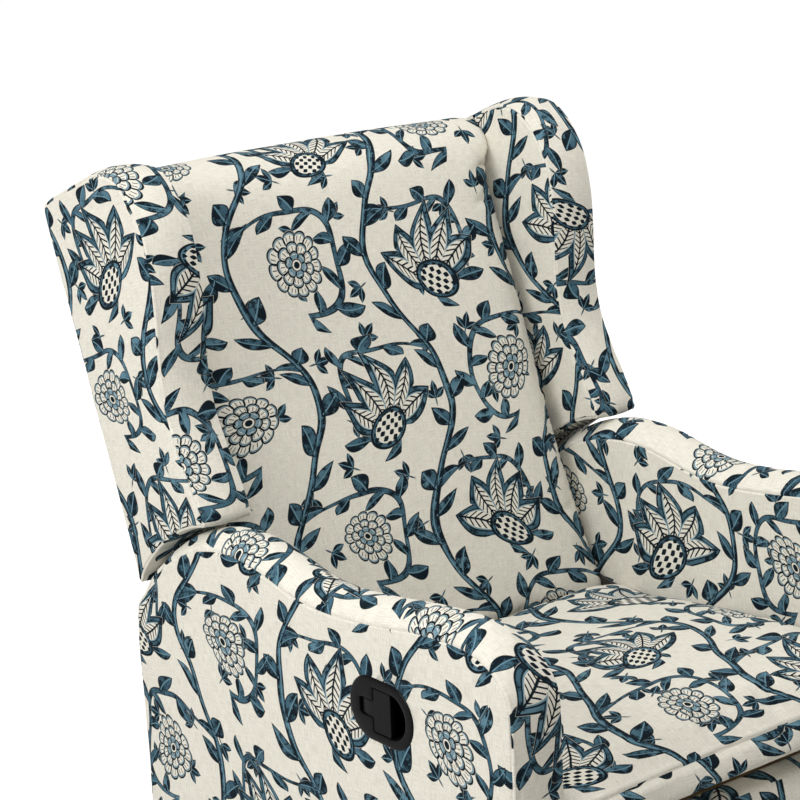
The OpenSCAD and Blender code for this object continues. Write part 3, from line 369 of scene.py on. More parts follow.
# %% The vine
def print_fields(tree, place):
    """The drawing: fields for the teal fills, how dark they are, the pale fills and the navy lines."""
    wobble = parts_of(tree, "Color", noise_texture(tree, place, 6.0).outputs["Color"])
    axes = parts_of(tree, "XYZ", place)
    u = axes[0] + wobble[0] * WOBBLE + 7.0
    v = axes[1] + wobble[1] * WOBBLE + 5.0

    level = u - (v * (pi / ROW)).sin() * SWING
    stem_side = level - (level / COLUMN).round() * COLUMN
    stem = abs(stem_side) * STEM_SLOPE - STEM
    leaf, leaf_side = leaf_row(v, stem_side, *STEM_LEAVES)

    column = (level / COLUMN).floor()
    row = (v / ROW).floor()
    is_rose = ((column + row) * 0.5).fract().under(0.25)
    is_fan = 1.0 - is_rose
    x = (level - (column + 0.5) * COLUMN) * ((row * 0.5).fract() * 4.0 - 1.0)
    y = v - (row + 0.5) * ROW
    r, turn = polar(x, y)

    curl_side = r - ((turn - CURL_OPENS_FROM).max(0.0) ** 2.0) * CURL_OPENS_BY - CURL
    grown = turn.over(CURL_ENDS)
    curl = abs(curl_side) - TWIG
    curl_leaf, curl_leaf_side = leaf_row(turn * CURL, curl_side, *CURL_LEAVES)

    rose_lines, rose_fill, rose_edge = rose(r, turn)
    fan_lines, fan_rim, fan_heart, fan_edge = fan_flower(x, y + 0.052)
    flower = rose_edge.inside(0.0015) * is_rose
    flower = flower.max(fan_edge.inside(0.0015) * is_fan)
    free = 1.0 - flower

    vine = leaf.min(stem)
    twigs = curl_leaf.min(curl)
    sprig, sprig_rib = sprigs(tree, place, SPRIG_SIZE)
    open_ground = free * vine.over(0.0007) * (1.0 - twigs.inside(0.0007) * grown)

    fills = (vine.inside(0.0).max(twigs.inside(0.0) * grown) * free).max(fan_rim * is_fan)
    fills = fills.max(sprig.inside(0.0) * open_ground)
    dark = (leaf_side.over(0.0) * leaf.inside(0.0)).max(curl_leaf_side.over(0.0) * curl_leaf.inside(0.0))
    dark = dark.max(stem_side.over(0.0018) * stem.inside(0.0)).max(sprig.inside(0.0) * open_ground)
    navy = (leaf.near(0.0, LINE * 0.6).max(stem.near(0.0, LINE * 0.6)) * free)
    navy = navy.max(twigs.near(0.0, LINE * 0.5) * grown * free)
    navy = navy.max(rose_lines * is_rose).max(fan_lines * is_fan)
    ribs = (abs(leaf_side).inside(0.0008) * leaf.inside(-0.002)).max((stem_side + 0.0016).near(0.0, 0.0009))
    ribs = ribs.max(abs(curl_leaf_side).inside(0.0007) * curl_leaf.inside(-0.0015) * grown)
    sky = (ribs * free).max(sprig_rib.inside(0.0006) * sprig.inside(-0.001) * open_ground)
    sky = sky.max(rose_fill * is_rose).max(fan_heart * is_fan)
    return fills, dark, sky, navy


print("the print repeats every", 2 * COLUMN, "m across and", 2 * ROW, "m up")

# %% [markdown]
# The ground is woven linen. A grid of waves would weave it too evenly, so two noises, one stretched along each
# thread, make warp and weft, with the thick and thin places of real yarn. The inks lie on it as a hand printer
# leaves them. A slow noise thins the teal to a lighter wash here and there, and a finer one lets the dark half
# of each leaf bite unevenly.

# %% Printed linen
THREADS = ((60, 1300, 1), (1300, 60, 1))
THREAD_DARK = (0.70, 0.67, 0.585, 1)
THREAD_PALE = (0.87, 0.845, 0.755, 1)


def linen(name):
    """Woven linen with the print on it, drawn from the cloth coordinates in the mesh."""
    material, tree, shader = new_material(name, 0.88)
    place = tree.nodes.new("ShaderNodeAttribute")
    place.attribute_name = "cloth"
    place = place.outputs["Vector"]
    warp, weft = [noise_field(tree, stretched(tree, place, stretch), 1.0, 0.0) for stretch in THREADS]
    weave = warp + weft
    colour = mixed(tree, (weave - 0.62).clamp() * 1.6, THREAD_DARK, THREAD_PALE)
    fills, dark, sky, navy = print_fields(tree, place)
    brush = noise_field(tree, place, 75.0, 2.0)
    grain = noise_field(tree, place, 520.0)
    wash = noise_field(tree, place, 13.0)
    thin = mixed(tree, (wash * 7.0 + grain * 1.2 - 4.1).clamp(), TEAL, WASH)
    ink = mixed(tree, (brush * 6.0 + grain * 3.0 + dark * 0.9 - 4.25).clamp(), thin, NAVY)
    for amount, tone in ((fills, ink), (sky * 0.95, SKY), (navy, NAVY)):
        colour = mixed(tree, amount, colour, tone)
    tree.links.new(colour, shader.inputs["Base Color"])
    raise_by(tree, shader, weave, 0.35, 0.0006)
    shader.inputs["Sheen Weight"].default_value = 0.02
    shader.inputs["Sheen Roughness"].default_value = 0.5
    shader.inputs["Specular IOR Level"].default_value = 0.07
    print(name, "has", len(tree.nodes), "nodes")
    return material


PRINTED = linen("printed_linen")

# %% [markdown]
# ## Other materials
#
# Under the linen there is sawn timber, tube and plate in black powder coat, zinc-plated links and pins, and
# the satin black plastic of the release handle. None of them is one even colour: timber has rings that run
# along each board, powder coat has an orange-peel skin, zinc is cloudy, and moulded plastic has a fine grain.
# Each could have a tree of its own. One function is enough here, because in all four the colour, the gloss and
# the height change together, so one noise can drive all three.

# %% Timber, steel, zinc and plastic
def hard_material(name, stretch, scale, below, above, roughness, metallic, bump_distance):
    """A material whose colour, gloss and height all follow one noise."""
    material, tree, shader = new_material(name, roughness)
    place = tree.nodes.new("ShaderNodeTexCoord").outputs["Object"]
    tone = noise_field(tree, stretched(tree, place, stretch), scale, 4.0)
    tree.links.new(mixed(tree, (tone * 2.4 - 0.7).clamp(), below, above), shader.inputs["Base Color"])
    tree.links.new((tone * 0.16 + (roughness - 0.08)).source, shader.inputs["Roughness"])
    shader.inputs["Metallic"].default_value = metallic
    raise_by(tree, shader, tone, 0.3, bump_distance)
    return material


FINISHES = {
    "timber": hard_material("sawn_timber", (2, 60, 60), 1.0, (0.50, 0.33, 0.17, 1), (0.72, 0.55, 0.34, 1),
                            0.62, 0.0, 0.0004),
    "black_steel": hard_material("black_powder_coat", (1, 1, 1), 420.0, (0.012, 0.012, 0.013, 1),
                                 (0.030, 0.030, 0.032, 1), 0.42, 0.0, 0.0003),
    "zinc_steel": hard_material("zinc_plate", (1, 1, 1), 130.0, (0.50, 0.51, 0.53, 1), (0.68, 0.69, 0.70, 1),
                                0.34, 1.0, 0.0001),
    "plastic": hard_material("satin_plastic", (1, 1, 1), 900.0, (0.003, 0.003, 0.0035, 1),
                             (0.007, 0.007, 0.008, 1), 0.30, 0.0, 0.0001),
}
FINISHES["plastic"].node_tree.nodes["Principled BSDF"].inputs["Specular IOR Level"].default_value = 0.12
slot_of = {part["node"]: part["material_slot"] for part in frame["record"]["subparts"]}
for node, thing in frame["nodes"].items():
    if slot_of[node] in FINISHES:
        thing.data.materials.clear()
        thing.data.materials.append(FINISHES[slot_of[node]])
print("finishes:", {slot: sum(s == slot for s in slot_of.values()) for slot in FINISHES})

# %% [markdown]
# ## Outlines
#
# A cover starts as an outline on a drawing board, like a paper pattern. A curve object could draw it, but its
# points aren't evenly spaced. So the corners of the outline are joined here by a smooth closed curve, which is
# then stepped off evenly, and strips of cloth have square faces all the way round.

# %% Outline tools
def arc(centre, radius, start, end, steps):
    """Points on an arc. Angles are in degrees from the first axis."""
    return [(centre[0] + radius * cos(a), centre[1] + radius * sin(a))
            for a in np.radians(np.linspace(start, end, steps + 1))]


def ease(a, b, t):
    """From a at t = 0 to b at t = 1, level at both ends."""
    return (a + b) / 2 + (a - b) / 2 * cos(pi * t)


def eased(start, end, steps):
    """Points on a soft S from start, which is left out, to end."""
    return [(start[0] + (end[0] - start[0]) * t / steps, ease(start[1], end[1], t / steps))
            for t in range(1, steps + 1)]


def closed(loop):
    """The loop with its first point again at its end."""
    return np.vstack([loop, loop[:1]])


def lengths_round(loop):
    """How far round a closed loop each point lies, with the whole length at the end."""
    return np.concatenate([[0], np.cumsum(np.linalg.norm(np.diff(closed(loop), axis=0), axis=1))])


def stepped(loop, count):
    """A closed loop stepped off evenly."""
    even = np.linspace(0, lengths_round(loop)[-1], count, endpoint=False)
    return np.column_stack([np.interp(even, lengths_round(loop), closed(loop)[:, k]) for k in (0, 1)])


def smooth_loop(points, step):
    """Even steps along a smooth closed curve through the points, which rounds tight corners without loops."""
    points = np.array(points, float)
    dense = []
    for i in range(len(points)):
        a, b, c, d = (points[(i + k) % len(points)] for k in (-1, 0, 1, 2))
        k0, k1, k2, k3 = np.cumsum([0] + [np.linalg.norm(v - u) ** 0.5 for u, v in ((a, b), (b, c), (c, d))])
        t = np.linspace(k1, k2, 16, endpoint=False)[:, None]
        ab = a + (b - a) * (t - k0) / (k1 - k0)
        bc = b + (c - b) * (t - k1) / (k2 - k1)
        cd = c + (d - c) * (t - k2) / (k3 - k2)
        dense.append(((k2 - t) * (ab * (k2 - t) + bc * (t - k0)) / (k2 - k0)
                      + (t - k1) * (bc * (k3 - t) + cd * (t - k1)) / (k3 - k1)) / (k2 - k1))
    dense = np.vstack(dense)
    return stepped(dense, max(8, round(lengths_round(dense)[-1] / step)))


def outward(loop):
    """The unit normal at each point of a counter-clockwise loop."""
    d = np.roll(loop, -1, axis=0) - np.roll(loop, 1, axis=0)
    return np.column_stack([d[:, 1], -d[:, 0]]) / np.linalg.norm(d, axis=1)[:, None]


def shrunk(loop, by):
    """The loop, drawn in evenly."""
    return loop - outward(loop) * by


print("a square metre stepped off every 10 cm:", len(smooth_loop(((0, 0), (1, 0), (1, 1), (0, 1)), 0.1)), "points")

# %% [markdown]
# A cover is sewn from rings of points: a band of faces joins two rings, and a fan closes the last one. It
# could also be modelled first and unwrapped later. Sewn this way, each corner of a face knows its place on the
# roll of cloth from the start, which the print is drawn from. Once it is sewn, the cover stands for its CAD
# node, which is hidden, rides on its body and is dressed in the printed linen.

# %% Sewing and dressing a cover
class Cover:
    """A skin sewn from bands of faces. Each band carries its own cloth coordinates in metres."""

    def __init__(self):
        self.points = []
        self.faces = []
        self.cloth = []

    def ring(self, x, loop):
        """Adds a loop at x, one number or one for each point, and says which points they are."""
        start = len(self.points)
        self.points += [(across, y, z) for across, (y, z) in zip(np.broadcast_to(x, len(loop)), loop)]
        return range(start, start + len(loop))

    def band(self, low, high, cloth_low=None, cloth_high=None):
        """Square faces between two rings."""
        for i in range(len(low)):
            j = (i + 1) % len(low)
            self.faces.append((low[i], low[j], high[j], high[i]))
            if cloth_low is not None:
                self.cloth += [cloth_low[i], cloth_low[i + 1], cloth_high[i + 1], cloth_high[i]]

    def fan(self, ring, x, middle, cloth_ring=None, cloth_middle=None):
        """Triangles from a ring to one point in its middle."""
        centre = self.ring(x, [middle])[0]
        for i in range(len(ring)):
            self.faces.append((ring[i], ring[(i + 1) % len(ring)], centre))
            if cloth_ring is not None:
                self.cloth += [cloth_ring[i], cloth_ring[i + 1], cloth_middle]

    def sew(self, name, place, mirrored=False):
        """The finished object, set into the room by the drawing board's matrix."""
        mesh = bpy.data.meshes.new(name)
        side = -1 if mirrored else 1
        mesh.from_pydata([place @ Vector((p[0] * side, p[1], p[2])) for p in self.points], [], self.faces)
        if self.cloth:
            layer = mesh.attributes.new("cloth", "FLOAT_VECTOR", "CORNER")
            layer.data.foreach_set("vector", np.array([(u, v, 0) for u, v in self.cloth], np.float32).ravel())
        made = bmesh.new()
        made.from_mesh(mesh)
        bmesh.ops.recalc_face_normals(made, faces=made.faces)
        made.to_mesh(mesh)
        made.free()
        mesh.shade_smooth()
        piece = bpy.data.objects.new(name, mesh)
        scene.collection.objects.link(piece)
        return piece


def dress(piece, node, body):
    """Lets a linen cover stand for its CAD node and ride on its body."""
    piece.data.materials.append(PRINTED)
    piece.data.shade_smooth()
    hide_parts(node)
    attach(piece, body)
    print(piece.name, "has", len(piece.data.polygons), "faces and stands for", node)


# %% [markdown]
# ## Arms and wings: boxed covers
#
# An arm is a wooden panel wrapped in foam, with a face of linen on each side and one long strip, the boxing,
# sewn between them. Foam pushes the strip up between its two seams, so the strip is crowned, and each seam
# sits in a small valley and puckers a little where the stitches draw the cloth in. A bevelled slab with its
# seams in a bump map would be quicker, but its edge would stay straight against the light. So the valleys and
# puckers are rows of real faces. The same builder makes the wings. The print breaks at every seam, because each
# panel is cut from another part of the roll.

# %% Boxed cover
SEAM_DEPTH = 0.0024
SEAM_WIDTH = 0.0015
LIP = 0.0012
LIP_AT = 0.0024
LIP_SPREAD = 0.0013
STITCH_PUCKER = (0.016, 0.0006)
LONG_PUCKER = (0.05, 0.0010)
GATHER_PITCH = 0.013
DRAWN_ON_STRIP = 0.010
DRAWN_ON_FACE = 0.012
DRAWN_FROM = 0.002
FACE_SHARE = 0.6
PUFF = 0.002
PUFF_REACH = 0.014
FACE_SHIFT = np.array([0.37, 0.61])
# Rows of faces lie close together beside a seam and spread out away from it.
FROM_SEAM = np.array([0, 0.0006, 0.0014, 0.0024, 0.0036, 0.0060, 0.0105, 0.0185, 0.0280])
FACE_INSETS = np.array([0.0006, 0.0014, 0.0024, 0.0036, 0.0060, 0.0105, 0.018, 0.032, 0.055])
FACE_FRACTIONS = np.array([0.78, 0.52, 0.26])


def seam_fall(away):
    """How far the cloth lies below its surface beside a seam: a fine valley with a lip next to it."""
    return SEAM_DEPTH * np.exp(-away / SEAM_WIDTH) - LIP * np.exp(-((away - LIP_AT) / LIP_SPREAD) ** 2)


def rumple(seed, along, reach, size):
    """Uneven drawing-in along a seam: one number per point."""
    return np.array([noise.noise(Vector((a / reach, seed, 0.5))) for a in along]) * size


def boxed(name, outline, half, crowns, core, place, shift, mirrored=False, step=0.009, gather=None):
    """crowns are the strip's rise on top, at the front and elsewhere. gather adds folds at part of a seam."""
    edge = smooth_loop(outline, step)
    normal = outward(edge)
    rounds = lengths_round(edge)
    top = crowns[0] * np.maximum(0, normal[:, 1]) ** 1.5
    crown = np.maximum(np.maximum(top, crowns[1] * np.maximum(0, -normal[:, 0])), crowns[2])
    drawn = rumple(shift[0], rounds[:-1], *STITCH_PUCKER) + rumple(shift[1], rounds[:-1], *LONG_PUCKER)
    if gather is not None:
        drawn = drawn + gather(edge) * np.sin(rounds[:-1] * 2 * pi / GATHER_PITCH)
    core = np.array(core)
    cover = Cover()
    strip = []
    stations = 1 - FROM_SEAM / half
    for s in np.concatenate([-stations, [0], stations[::-1]]):
        from_seam = (1 - abs(s)) * half
        sunk = crown * abs(s) ** 2.2 + seam_fall(from_seam)
        sunk = sunk + drawn * np.exp(-from_seam / DRAWN_ON_STRIP)
        x = np.sign(s) * (half - from_seam - (SEAM_DEPTH * FACE_SHARE if abs(s) == 1 else 0))
        strip.append((cover.ring(x, edge - normal * sunk[:, None]),
                      np.column_stack([np.full(len(rounds), s * half + shift[0]), rounds + shift[1]])))
    for (low, cloth_low), (high, cloth_high) in zip(strip, strip[1:]):
        cover.band(low, high, cloth_low, cloth_high)
    for side, (ring, _) in ((-1, strip[0]), (1, strip[-1])):
        seam = edge - normal * (crown + SEAM_DEPTH)[:, None]
        to_core = core - seam
        reach = np.linalg.norm(to_core, axis=1)[:, None]
        insets = [to_core / reach * d for d in FACE_INSETS]
        insets += [to_core / reach * (FACE_INSETS[-1] + (reach - FACE_INSETS[-1]) * (1 - f))
                   for f in FACE_FRACTIONS]
        shift_face = np.array(shift) + side * FACE_SHIFT
        flat = closed(seam) * (side, 1) + shift_face
        for inset in insets:
            d = np.linalg.norm(inset, axis=1)
            loop = seam + inset
            rise = PUFF * (1 - np.exp(-d / PUFF_REACH)) - FACE_SHARE * seam_fall(d)
            dip = drawn * FACE_SHARE * np.exp(-d / DRAWN_ON_FACE) * (1 - np.exp(-d / DRAWN_FROM))
            x = side * (half + rise - dip)
            inner = cover.ring(x, loop)
            cloth = closed(loop) * (side, 1) + shift_face
            cover.band(ring, inner, flat, cloth)
            ring, flat = inner, cloth
        cover.fan(ring, side * (half + PUFF), core, flat, core * (side, 1) + shift_face)
    return cover.sew(name, place, mirrored)


print("a seam sinks", round(float(seam_fall(FROM_SEAM).max()), 4), "m into the foam")

# %% [markdown]
# Seen from the side, an arm dips behind its front roll and rises again to a hump. The hump is an arc about the
# recline pivot, so that the wing's round foot passes over it with an even gap. The outline could be traced from
# points. Drawn with arcs and soft curves, it stays tied to the sizes that the CAD uses.

# %% Arms
ARM_OUT = 0.380
ARM_T = 0.075
ARM_FRONT = 0.445
ARM_REAR = 0.328
ARM_BOTTOM = 0.085
ARM_CREST = 0.638
ARM_DIP = 0.611
ARM_DIP_Y = 0.075
ARM_ROLL_R = 0.095
HUMP_R = 0.264
EDGE_R = 0.015
hump_low = np.degrees(acos((ARM_REAR - PIVOT.y) / HUMP_R))
arm_outline = (
    arc((ARM_REAR - EDGE_R, ARM_BOTTOM + EDGE_R), EDGE_R, -90, 0, 3)
    + [(ARM_REAR, ARM_BOTTOM + 0.10), (ARM_REAR, ARM_BOTTOM + 0.18)]
    + arc((PIVOT.y, PIVOT.z), HUMP_R, hump_low, 90, 7)
    + eased((PIVOT.y, PIVOT.z + HUMP_R), (-ARM_DIP_Y, ARM_DIP), 4)
    + eased((-ARM_DIP_Y, ARM_DIP), (-ARM_FRONT + ARM_ROLL_R, ARM_CREST), 5)
    + arc((-ARM_FRONT + ARM_ROLL_R, ARM_CREST - ARM_ROLL_R), ARM_ROLL_R, 105, 180, 6)
    + [(-ARM_FRONT, ARM_BOTTOM + 0.36), (-ARM_FRONT, ARM_BOTTOM + 0.26), (-ARM_FRONT, ARM_BOTTOM + 0.10)]
    + arc((-ARM_FRONT + EDGE_R, ARM_BOTTOM + EDGE_R), EDGE_R, 180, 270, 3)
    + [(-0.33, ARM_BOTTOM), (-0.18, ARM_BOTTOM), (0.08, ARM_BOTTOM), (0.25, ARM_BOTTOM)]
)
ARM_AT = ARM_OUT - ARM_T / 2
ARM_CROWNS = (0.022, 0.005, 0.003)
for side, shift, mirrored in (("left", (0.02, 0.11), False), ("right", (0.29, 0.43), True)):
    arm = boxed(f"arm_{side}_cover", arm_outline, ARM_T / 2, ARM_CROWNS, (-0.060, 0.340),
                CHAIR @ Matrix.Translation((-ARM_AT if mirrored else ARM_AT, 0, 0)), shift, mirrored)
    dress(arm, f"arm_{side}", "chair_frame")

# %% [markdown]
# The wings curve forward at the head like ears, draw in at the waist and end in a round foot that turns past
# the arm's hump as the back reclines. At the front corner of the foot the boxing has to go round a tight bend,
# and the spare cloth is gathered there in small folds. Cloth could be simulated there too, but a short wave
# that dies out round the corner looks the same and stays where it is put.

# %% Wings
BACK_REAR = 0.163
BACK_H = 0.752
WING_OUT = 0.378
WING_T = 0.076
WING_R = 0.270
WING_FOOT = 0.038
WING_WAIST = 0.020
WING_WAIST_H = 0.410
WING_EAR = 0.072
WING_EAR_H = 0.640
EAR_IN = 0.018
foot_low = asin(BACK_REAR / WING_R)
foot_high = -asin((WING_FOOT - 0.006) / WING_R)
foot_up = WING_R * cos(foot_high) + 0.010
wing_outline = (
    [(WING_R * sin(a), WING_R * cos(a)) for a in np.linspace(foot_low, foot_high, 9)]
    + [(-ease(WING_FOOT, WING_WAIST, t / 3), foot_up + (WING_WAIST_H - foot_up) * t / 3) for t in range(4)]
    + [(-ease(WING_WAIST, WING_EAR, t / 5), WING_WAIST_H + (WING_EAR_H - WING_WAIST_H) * t / 5)
       for t in range(1, 6)]
    + [(EAR_IN + (WING_EAR + EAR_IN) * cos(a), WING_EAR_H + (BACK_H - WING_EAR_H) * sin(a))
       for a in np.radians(np.arange(165, 89, -15))]
    + [(BACK_REAR - 0.060, BACK_H - 0.003), (BACK_REAR - 0.016, BACK_H - 0.007),
       (BACK_REAR - 0.003, BACK_H - 0.016), (BACK_REAR, BACK_H - 0.040), (BACK_REAR, 0.600),
       (BACK_REAR, 0.480), (BACK_REAR, 0.360), (BACK_REAR, 0.250)]
)
WING_AT = WING_OUT - WING_T / 2


def foot_gather(edge):
    """Folds at the foot's front corner, dying out round it."""
    far = np.linalg.norm(edge - np.array((-WING_FOOT, WING_R)), axis=1)
    return 0.0016 * np.exp(-(far / 0.030) ** 2)


for side, shift, mirrored in (("left", (0.55, 0.23), False), ("right", (0.74, 0.07), True)):
    wing = boxed(f"wing_{side}_cover", wing_outline[::-1], WING_T / 2, (0.008, 0.007, 0.003), (0.048, 0.520),
                 BACK @ Matrix.Translation((-WING_AT if mirrored else WING_AT, 0, 0)), shift, mirrored,
                 step=0.008, gather=foot_gather)
    dress(wing, f"wing_{side}", "back")

# %% [markdown]
# ## Seat, back and footrest: stuffed covers
#
# A seat cushion is a block of foam in a cover that is cut a little small. The foam pushes the cover out until
# the cloth carries the load, which crowns the top and rounds the sides. A smoothed box has the same outline,
# but its corners never fill out like this. So each cushion starts as a smaller body lofted from side profiles,
# is given an even skin of small faces, and is then inflated as cloth. What the arms, boards and springs stop in
# the real chair is stopped here too: no point leaves its cushion's space.

# %% Lofted bodies
LOFT_STATIONS = np.concatenate([[-1, -0.992, -0.97], np.linspace(-0.93, 0.93, 25), [0.97, 0.992, 1]])
FINE_STEP = 0.003


def fullness(w):
    """How far a cushion swells at a station: 1 in the middle, 0 at both ends."""
    return 1 - abs(w) ** 2.6


def loft(name, profile, half, core, pinch, place, step=0.012, inset=0.0):
    """A body across the chair. profile(w) is its side view at station w, and pinch rounds both ends."""
    cover = Cover()
    core = np.array(core)
    count = len(smooth_loop(profile(0), step))
    rings = []
    for w in LOFT_STATIONS:
        loop = shrunk(stepped(smooth_loop(profile(w), FINE_STEP), count), inset)
        loop = core + (loop - core) * (1 - pinch * max(0, (abs(w) - 0.9) / 0.1) ** 2.5)
        rounds = lengths_round(loop)
        rings.append((cover.ring(w * (half - inset), loop),
                      np.column_stack([np.full(len(rounds), w * half), rounds])))
    for (low, cloth_low), (high, cloth_high) in zip(rings, rings[1:]):
        cover.band(low, high, cloth_low, cloth_high)
    for ring, x in ((rings[0][0], -half + inset), (rings[-1][0], half - inset)):
        flat = np.array([cover.points[i][1:] for i in ring])
        cover.fan(ring, x, core, closed(flat), core)
    return cover.sew(name, place)


print("side views across a cushion:", len(LOFT_STATIONS))

# %% [markdown]
# Foam presses evenly in all directions. It could be a body of its own inside the cloth, but pressure does the
# same for less work. So a cover is blown up for twenty frames, as cloth without weight. It moves no further
# than a cap, because foam, unlike air, stops pushing, and is then drawn out to the space that holds it.

# %% Inflating a cover
X, Y, Z = range(3)
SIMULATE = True
CLEAR = 0.0006
FRAMES = 20
PRESSURE = 4.0


def board_points(piece, place):
    """The mesh's points on the drawing board."""
    to_board = place.inverted()
    return np.array([to_board @ v.co for v in piece.data.vertices])


def set_board_points(piece, place, points):
    """Moves the mesh's points to new places on the drawing board."""
    for vertex, point in zip(piece.data.vertices, points):
        vertex.co = place @ Vector(point)


def apply_modifiers(piece):
    """Turns what the modifiers make into the piece's own mesh."""
    made = bpy.data.meshes.new_from_object(piece.evaluated_get(bpy.context.evaluated_depsgraph_get()))
    piece.modifiers.clear()
    old = piece.data
    piece.data = made
    bpy.data.meshes.remove(old)


def remesh(piece, voxel):
    """Gives the cover an even skin of small square faces."""
    modifier = piece.modifiers.new("even faces", "REMESH")
    modifier.mode = "VOXEL"
    modifier.voxel_size = voxel
    apply_modifiers(piece)


def draw_out(points, *limits):
    """Draws a cover out to its limits. Each is (axis, limit, within), and the stretch begins that far in."""
    for axis, limit, within in limits:
        side = 1 if limit > points[:, axis].mean() else -1
        out = side * points[:, axis]
        start = side * limit - within
        grow = within / (np.percentile(out, 99) - start)
        points[:, axis] = side * np.where(out > start, start + (out - start) * grow, out)


def inflate(piece, place, space, cap, held=None):
    """Blows the cover up as cloth. No point moves further than the cap. space(points) keeps the board points
    inside what holds the cushion, and held(points) says, from 0 to 1, how firmly each one is tacked down."""
    start = board_points(piece, place)
    cloth = piece.modifiers.new("pressure", "CLOTH")
    cloth.settings.quality = 5
    cloth.settings.mass = 0.25
    cloth.settings.tension_stiffness = 18
    cloth.settings.compression_stiffness = 12
    cloth.settings.shear_stiffness = 6
    cloth.settings.bending_stiffness = 1.2
    cloth.settings.use_pressure = True
    cloth.settings.uniform_pressure_force = PRESSURE
    cloth.settings.effector_weights.gravity = 0
    cloth.point_cache.frame_start = 1
    cloth.point_cache.frame_end = FRAMES
    for step in range(1, FRAMES + 1):
        scene.frame_set(step)
    apply_modifiers(piece)
    moved = board_points(piece, place) - start
    far = np.linalg.norm(moved, axis=1)
    moved *= (cap * np.tanh(far / cap) / np.maximum(far, 1e-9))[:, None]
    if held is not None:
        moved *= 1 - held(start)[:, None]
    set_board_points(piece, place, space(start + moved))
    scene.frame_set(1)
    print(piece.name, "points:", len(start), "largest move:", round(float(far.max()), 4))


def stuffed(name, profile, half, core, pinch, place, slack, voxel, space, cap, held=None, quick_slack=0.001):
    """A lofted cover, cut smaller by its slack and then inflated. A quick build only lofts it."""
    piece = loft(name, profile, half, core, pinch, place, inset=slack if SIMULATE else quick_slack)
    if SIMULATE:
        remesh(piece, voxel)
        inflate(piece, place, space, cap, held)
    return piece


print("cushions are", "inflated as cloth" if SIMULATE else "only lofted")

# %% [markdown]
# The cover of a cushion is one top piece, sewn to bands at the front and sides. The print runs straight on
# over each piece and starts anew at each seam, so every face is told which piece it belongs to. The skin of an
# inflated cover has no edges where a seam should run, and a seam pressed into it would come out ragged. So it
# is first cut into the mesh as rows of edges, then pressed into a small valley, with the cloth standing up a
# little beside it.

# %% Seams on a stuffed cover
def cut(piece, place, point, normal, offsets):
    """Cuts rows of edges through the mesh along a plane given on the drawing board."""
    made = bmesh.new()
    made.from_mesh(piece.data)
    direction = (place.to_3x3() @ Vector(normal)).normalized()
    for offset in offsets:
        bmesh.ops.bisect_plane(made, geom=made.verts[:] + made.edges[:] + made.faces[:], dist=1e-6,
                               plane_co=place @ Vector(point) + direction * offset, plane_no=direction)
    made.to_mesh(piece.data)
    made.free()


PRESS_ZONE = 0.03
PRESS_ABOVE = 0.0015
PRESS_BELOW = 0.006
PRESSED_LIP_AT = 0.004
PRESSED_LIP_SPREAD = 0.0022


def press_seam(piece, place, point, normal, depth, region):
    """Sinks the cloth along a cut seam and lifts a lip above it, on the side to which normal points."""
    to_board = place.inverted()
    normals = [Vector(v.normal) for v in piece.data.vertices]
    for vertex, outside in zip(piece.data.vertices, normals):
        p = to_board @ vertex.co
        d = (p - Vector(point)).dot(Vector(normal).normalized())
        if abs(d) < PRESS_ZONE and region(p):
            sunk = depth * np.exp(-abs(d) / (PRESS_ABOVE if d > 0 else PRESS_BELOW))
            lip = 0.7 * depth * np.exp(-((d - PRESSED_LIP_AT) / PRESSED_LIP_SPREAD) ** 2)
            vertex.co += outside * (lip - sunk)


def mark_cloth(piece, place, panels):
    """panels(centre, normal) names a face's panel: a function from a board point to cloth coordinates."""
    mesh = piece.data
    if "cloth" in mesh.attributes:
        mesh.attributes.remove(mesh.attributes["cloth"])
    layer = mesh.attributes.new("cloth", "FLOAT_VECTOR", "CORNER")
    to_board = place.inverted()
    turn = to_board.to_3x3()
    points = [to_board @ v.co for v in mesh.vertices]
    for face in mesh.polygons:
        panel = panels(to_board @ face.center, turn @ face.normal)
        for corner in face.loop_indices:
            u, v = panel(points[mesh.loops[corner].vertex_index])
            layer.data[corner].vector = (u, v, 0)


print("a pressed seam moves the cloth up to", PRESS_ZONE, "m away")

# %% [markdown]
# The seat lies between the arms, on its springs, and its rear end slopes with the back. Its top runs on over
# the front roll to a seam on the front, and the cover is tacked down along the lower edge there. The tacks
# could be pinned points of the cloth, but a soft hold that fades away upwards leaves no dents.

# %% Seat cushion
SIDE_IN = 0.301
SEAT_HALF = 0.304
SEAT_DEPTH = 0.595
SEAT_T = 0.100
SEAT_CROWN = 0.007 if SIMULATE else 0.024
SEAT_ROLL_R = 0.034
front_low = -SEAT_DEPTH + SEAT_T * tan(SEAT_SLOPE)
seat_lean = RAKE - SEAT_SLOPE
rear_low = -SEAT_T * tan(seat_lean) - SOFT_GAP


def seat_profile(w):
    """The seat's side view at station w."""
    c = SEAT_CROWN * fullness(w)
    r = SEAT_ROLL_R
    return ([(rear_low, -SEAT_T), ((rear_low + front_low) / 2, -SEAT_T), (front_low + 0.014, -SEAT_T),
             (front_low - 0.002, -SEAT_T + 0.014), (front_low - 0.006, -SEAT_T * 0.62)]
            + arc((-SEAT_DEPTH + r - 0.004, -r - 0.012 + c * 0.25), r, 180, 110, 4)
            + [((-SEAT_DEPTH + r) * (1 - t / 8),
                -0.012 * (1 - t / 8) ** 4 + c * sin(pi * (0.14 + 0.86 * t / 8)) ** 0.8) for t in range(1, 8)]
            + [(-0.022, -0.001), (-0.006, -0.006), (-0.0035, -0.014),
               (-SEAT_T * tan(seat_lean) * 0.55 - SOFT_GAP, -SEAT_T * 0.55)])[::-1]


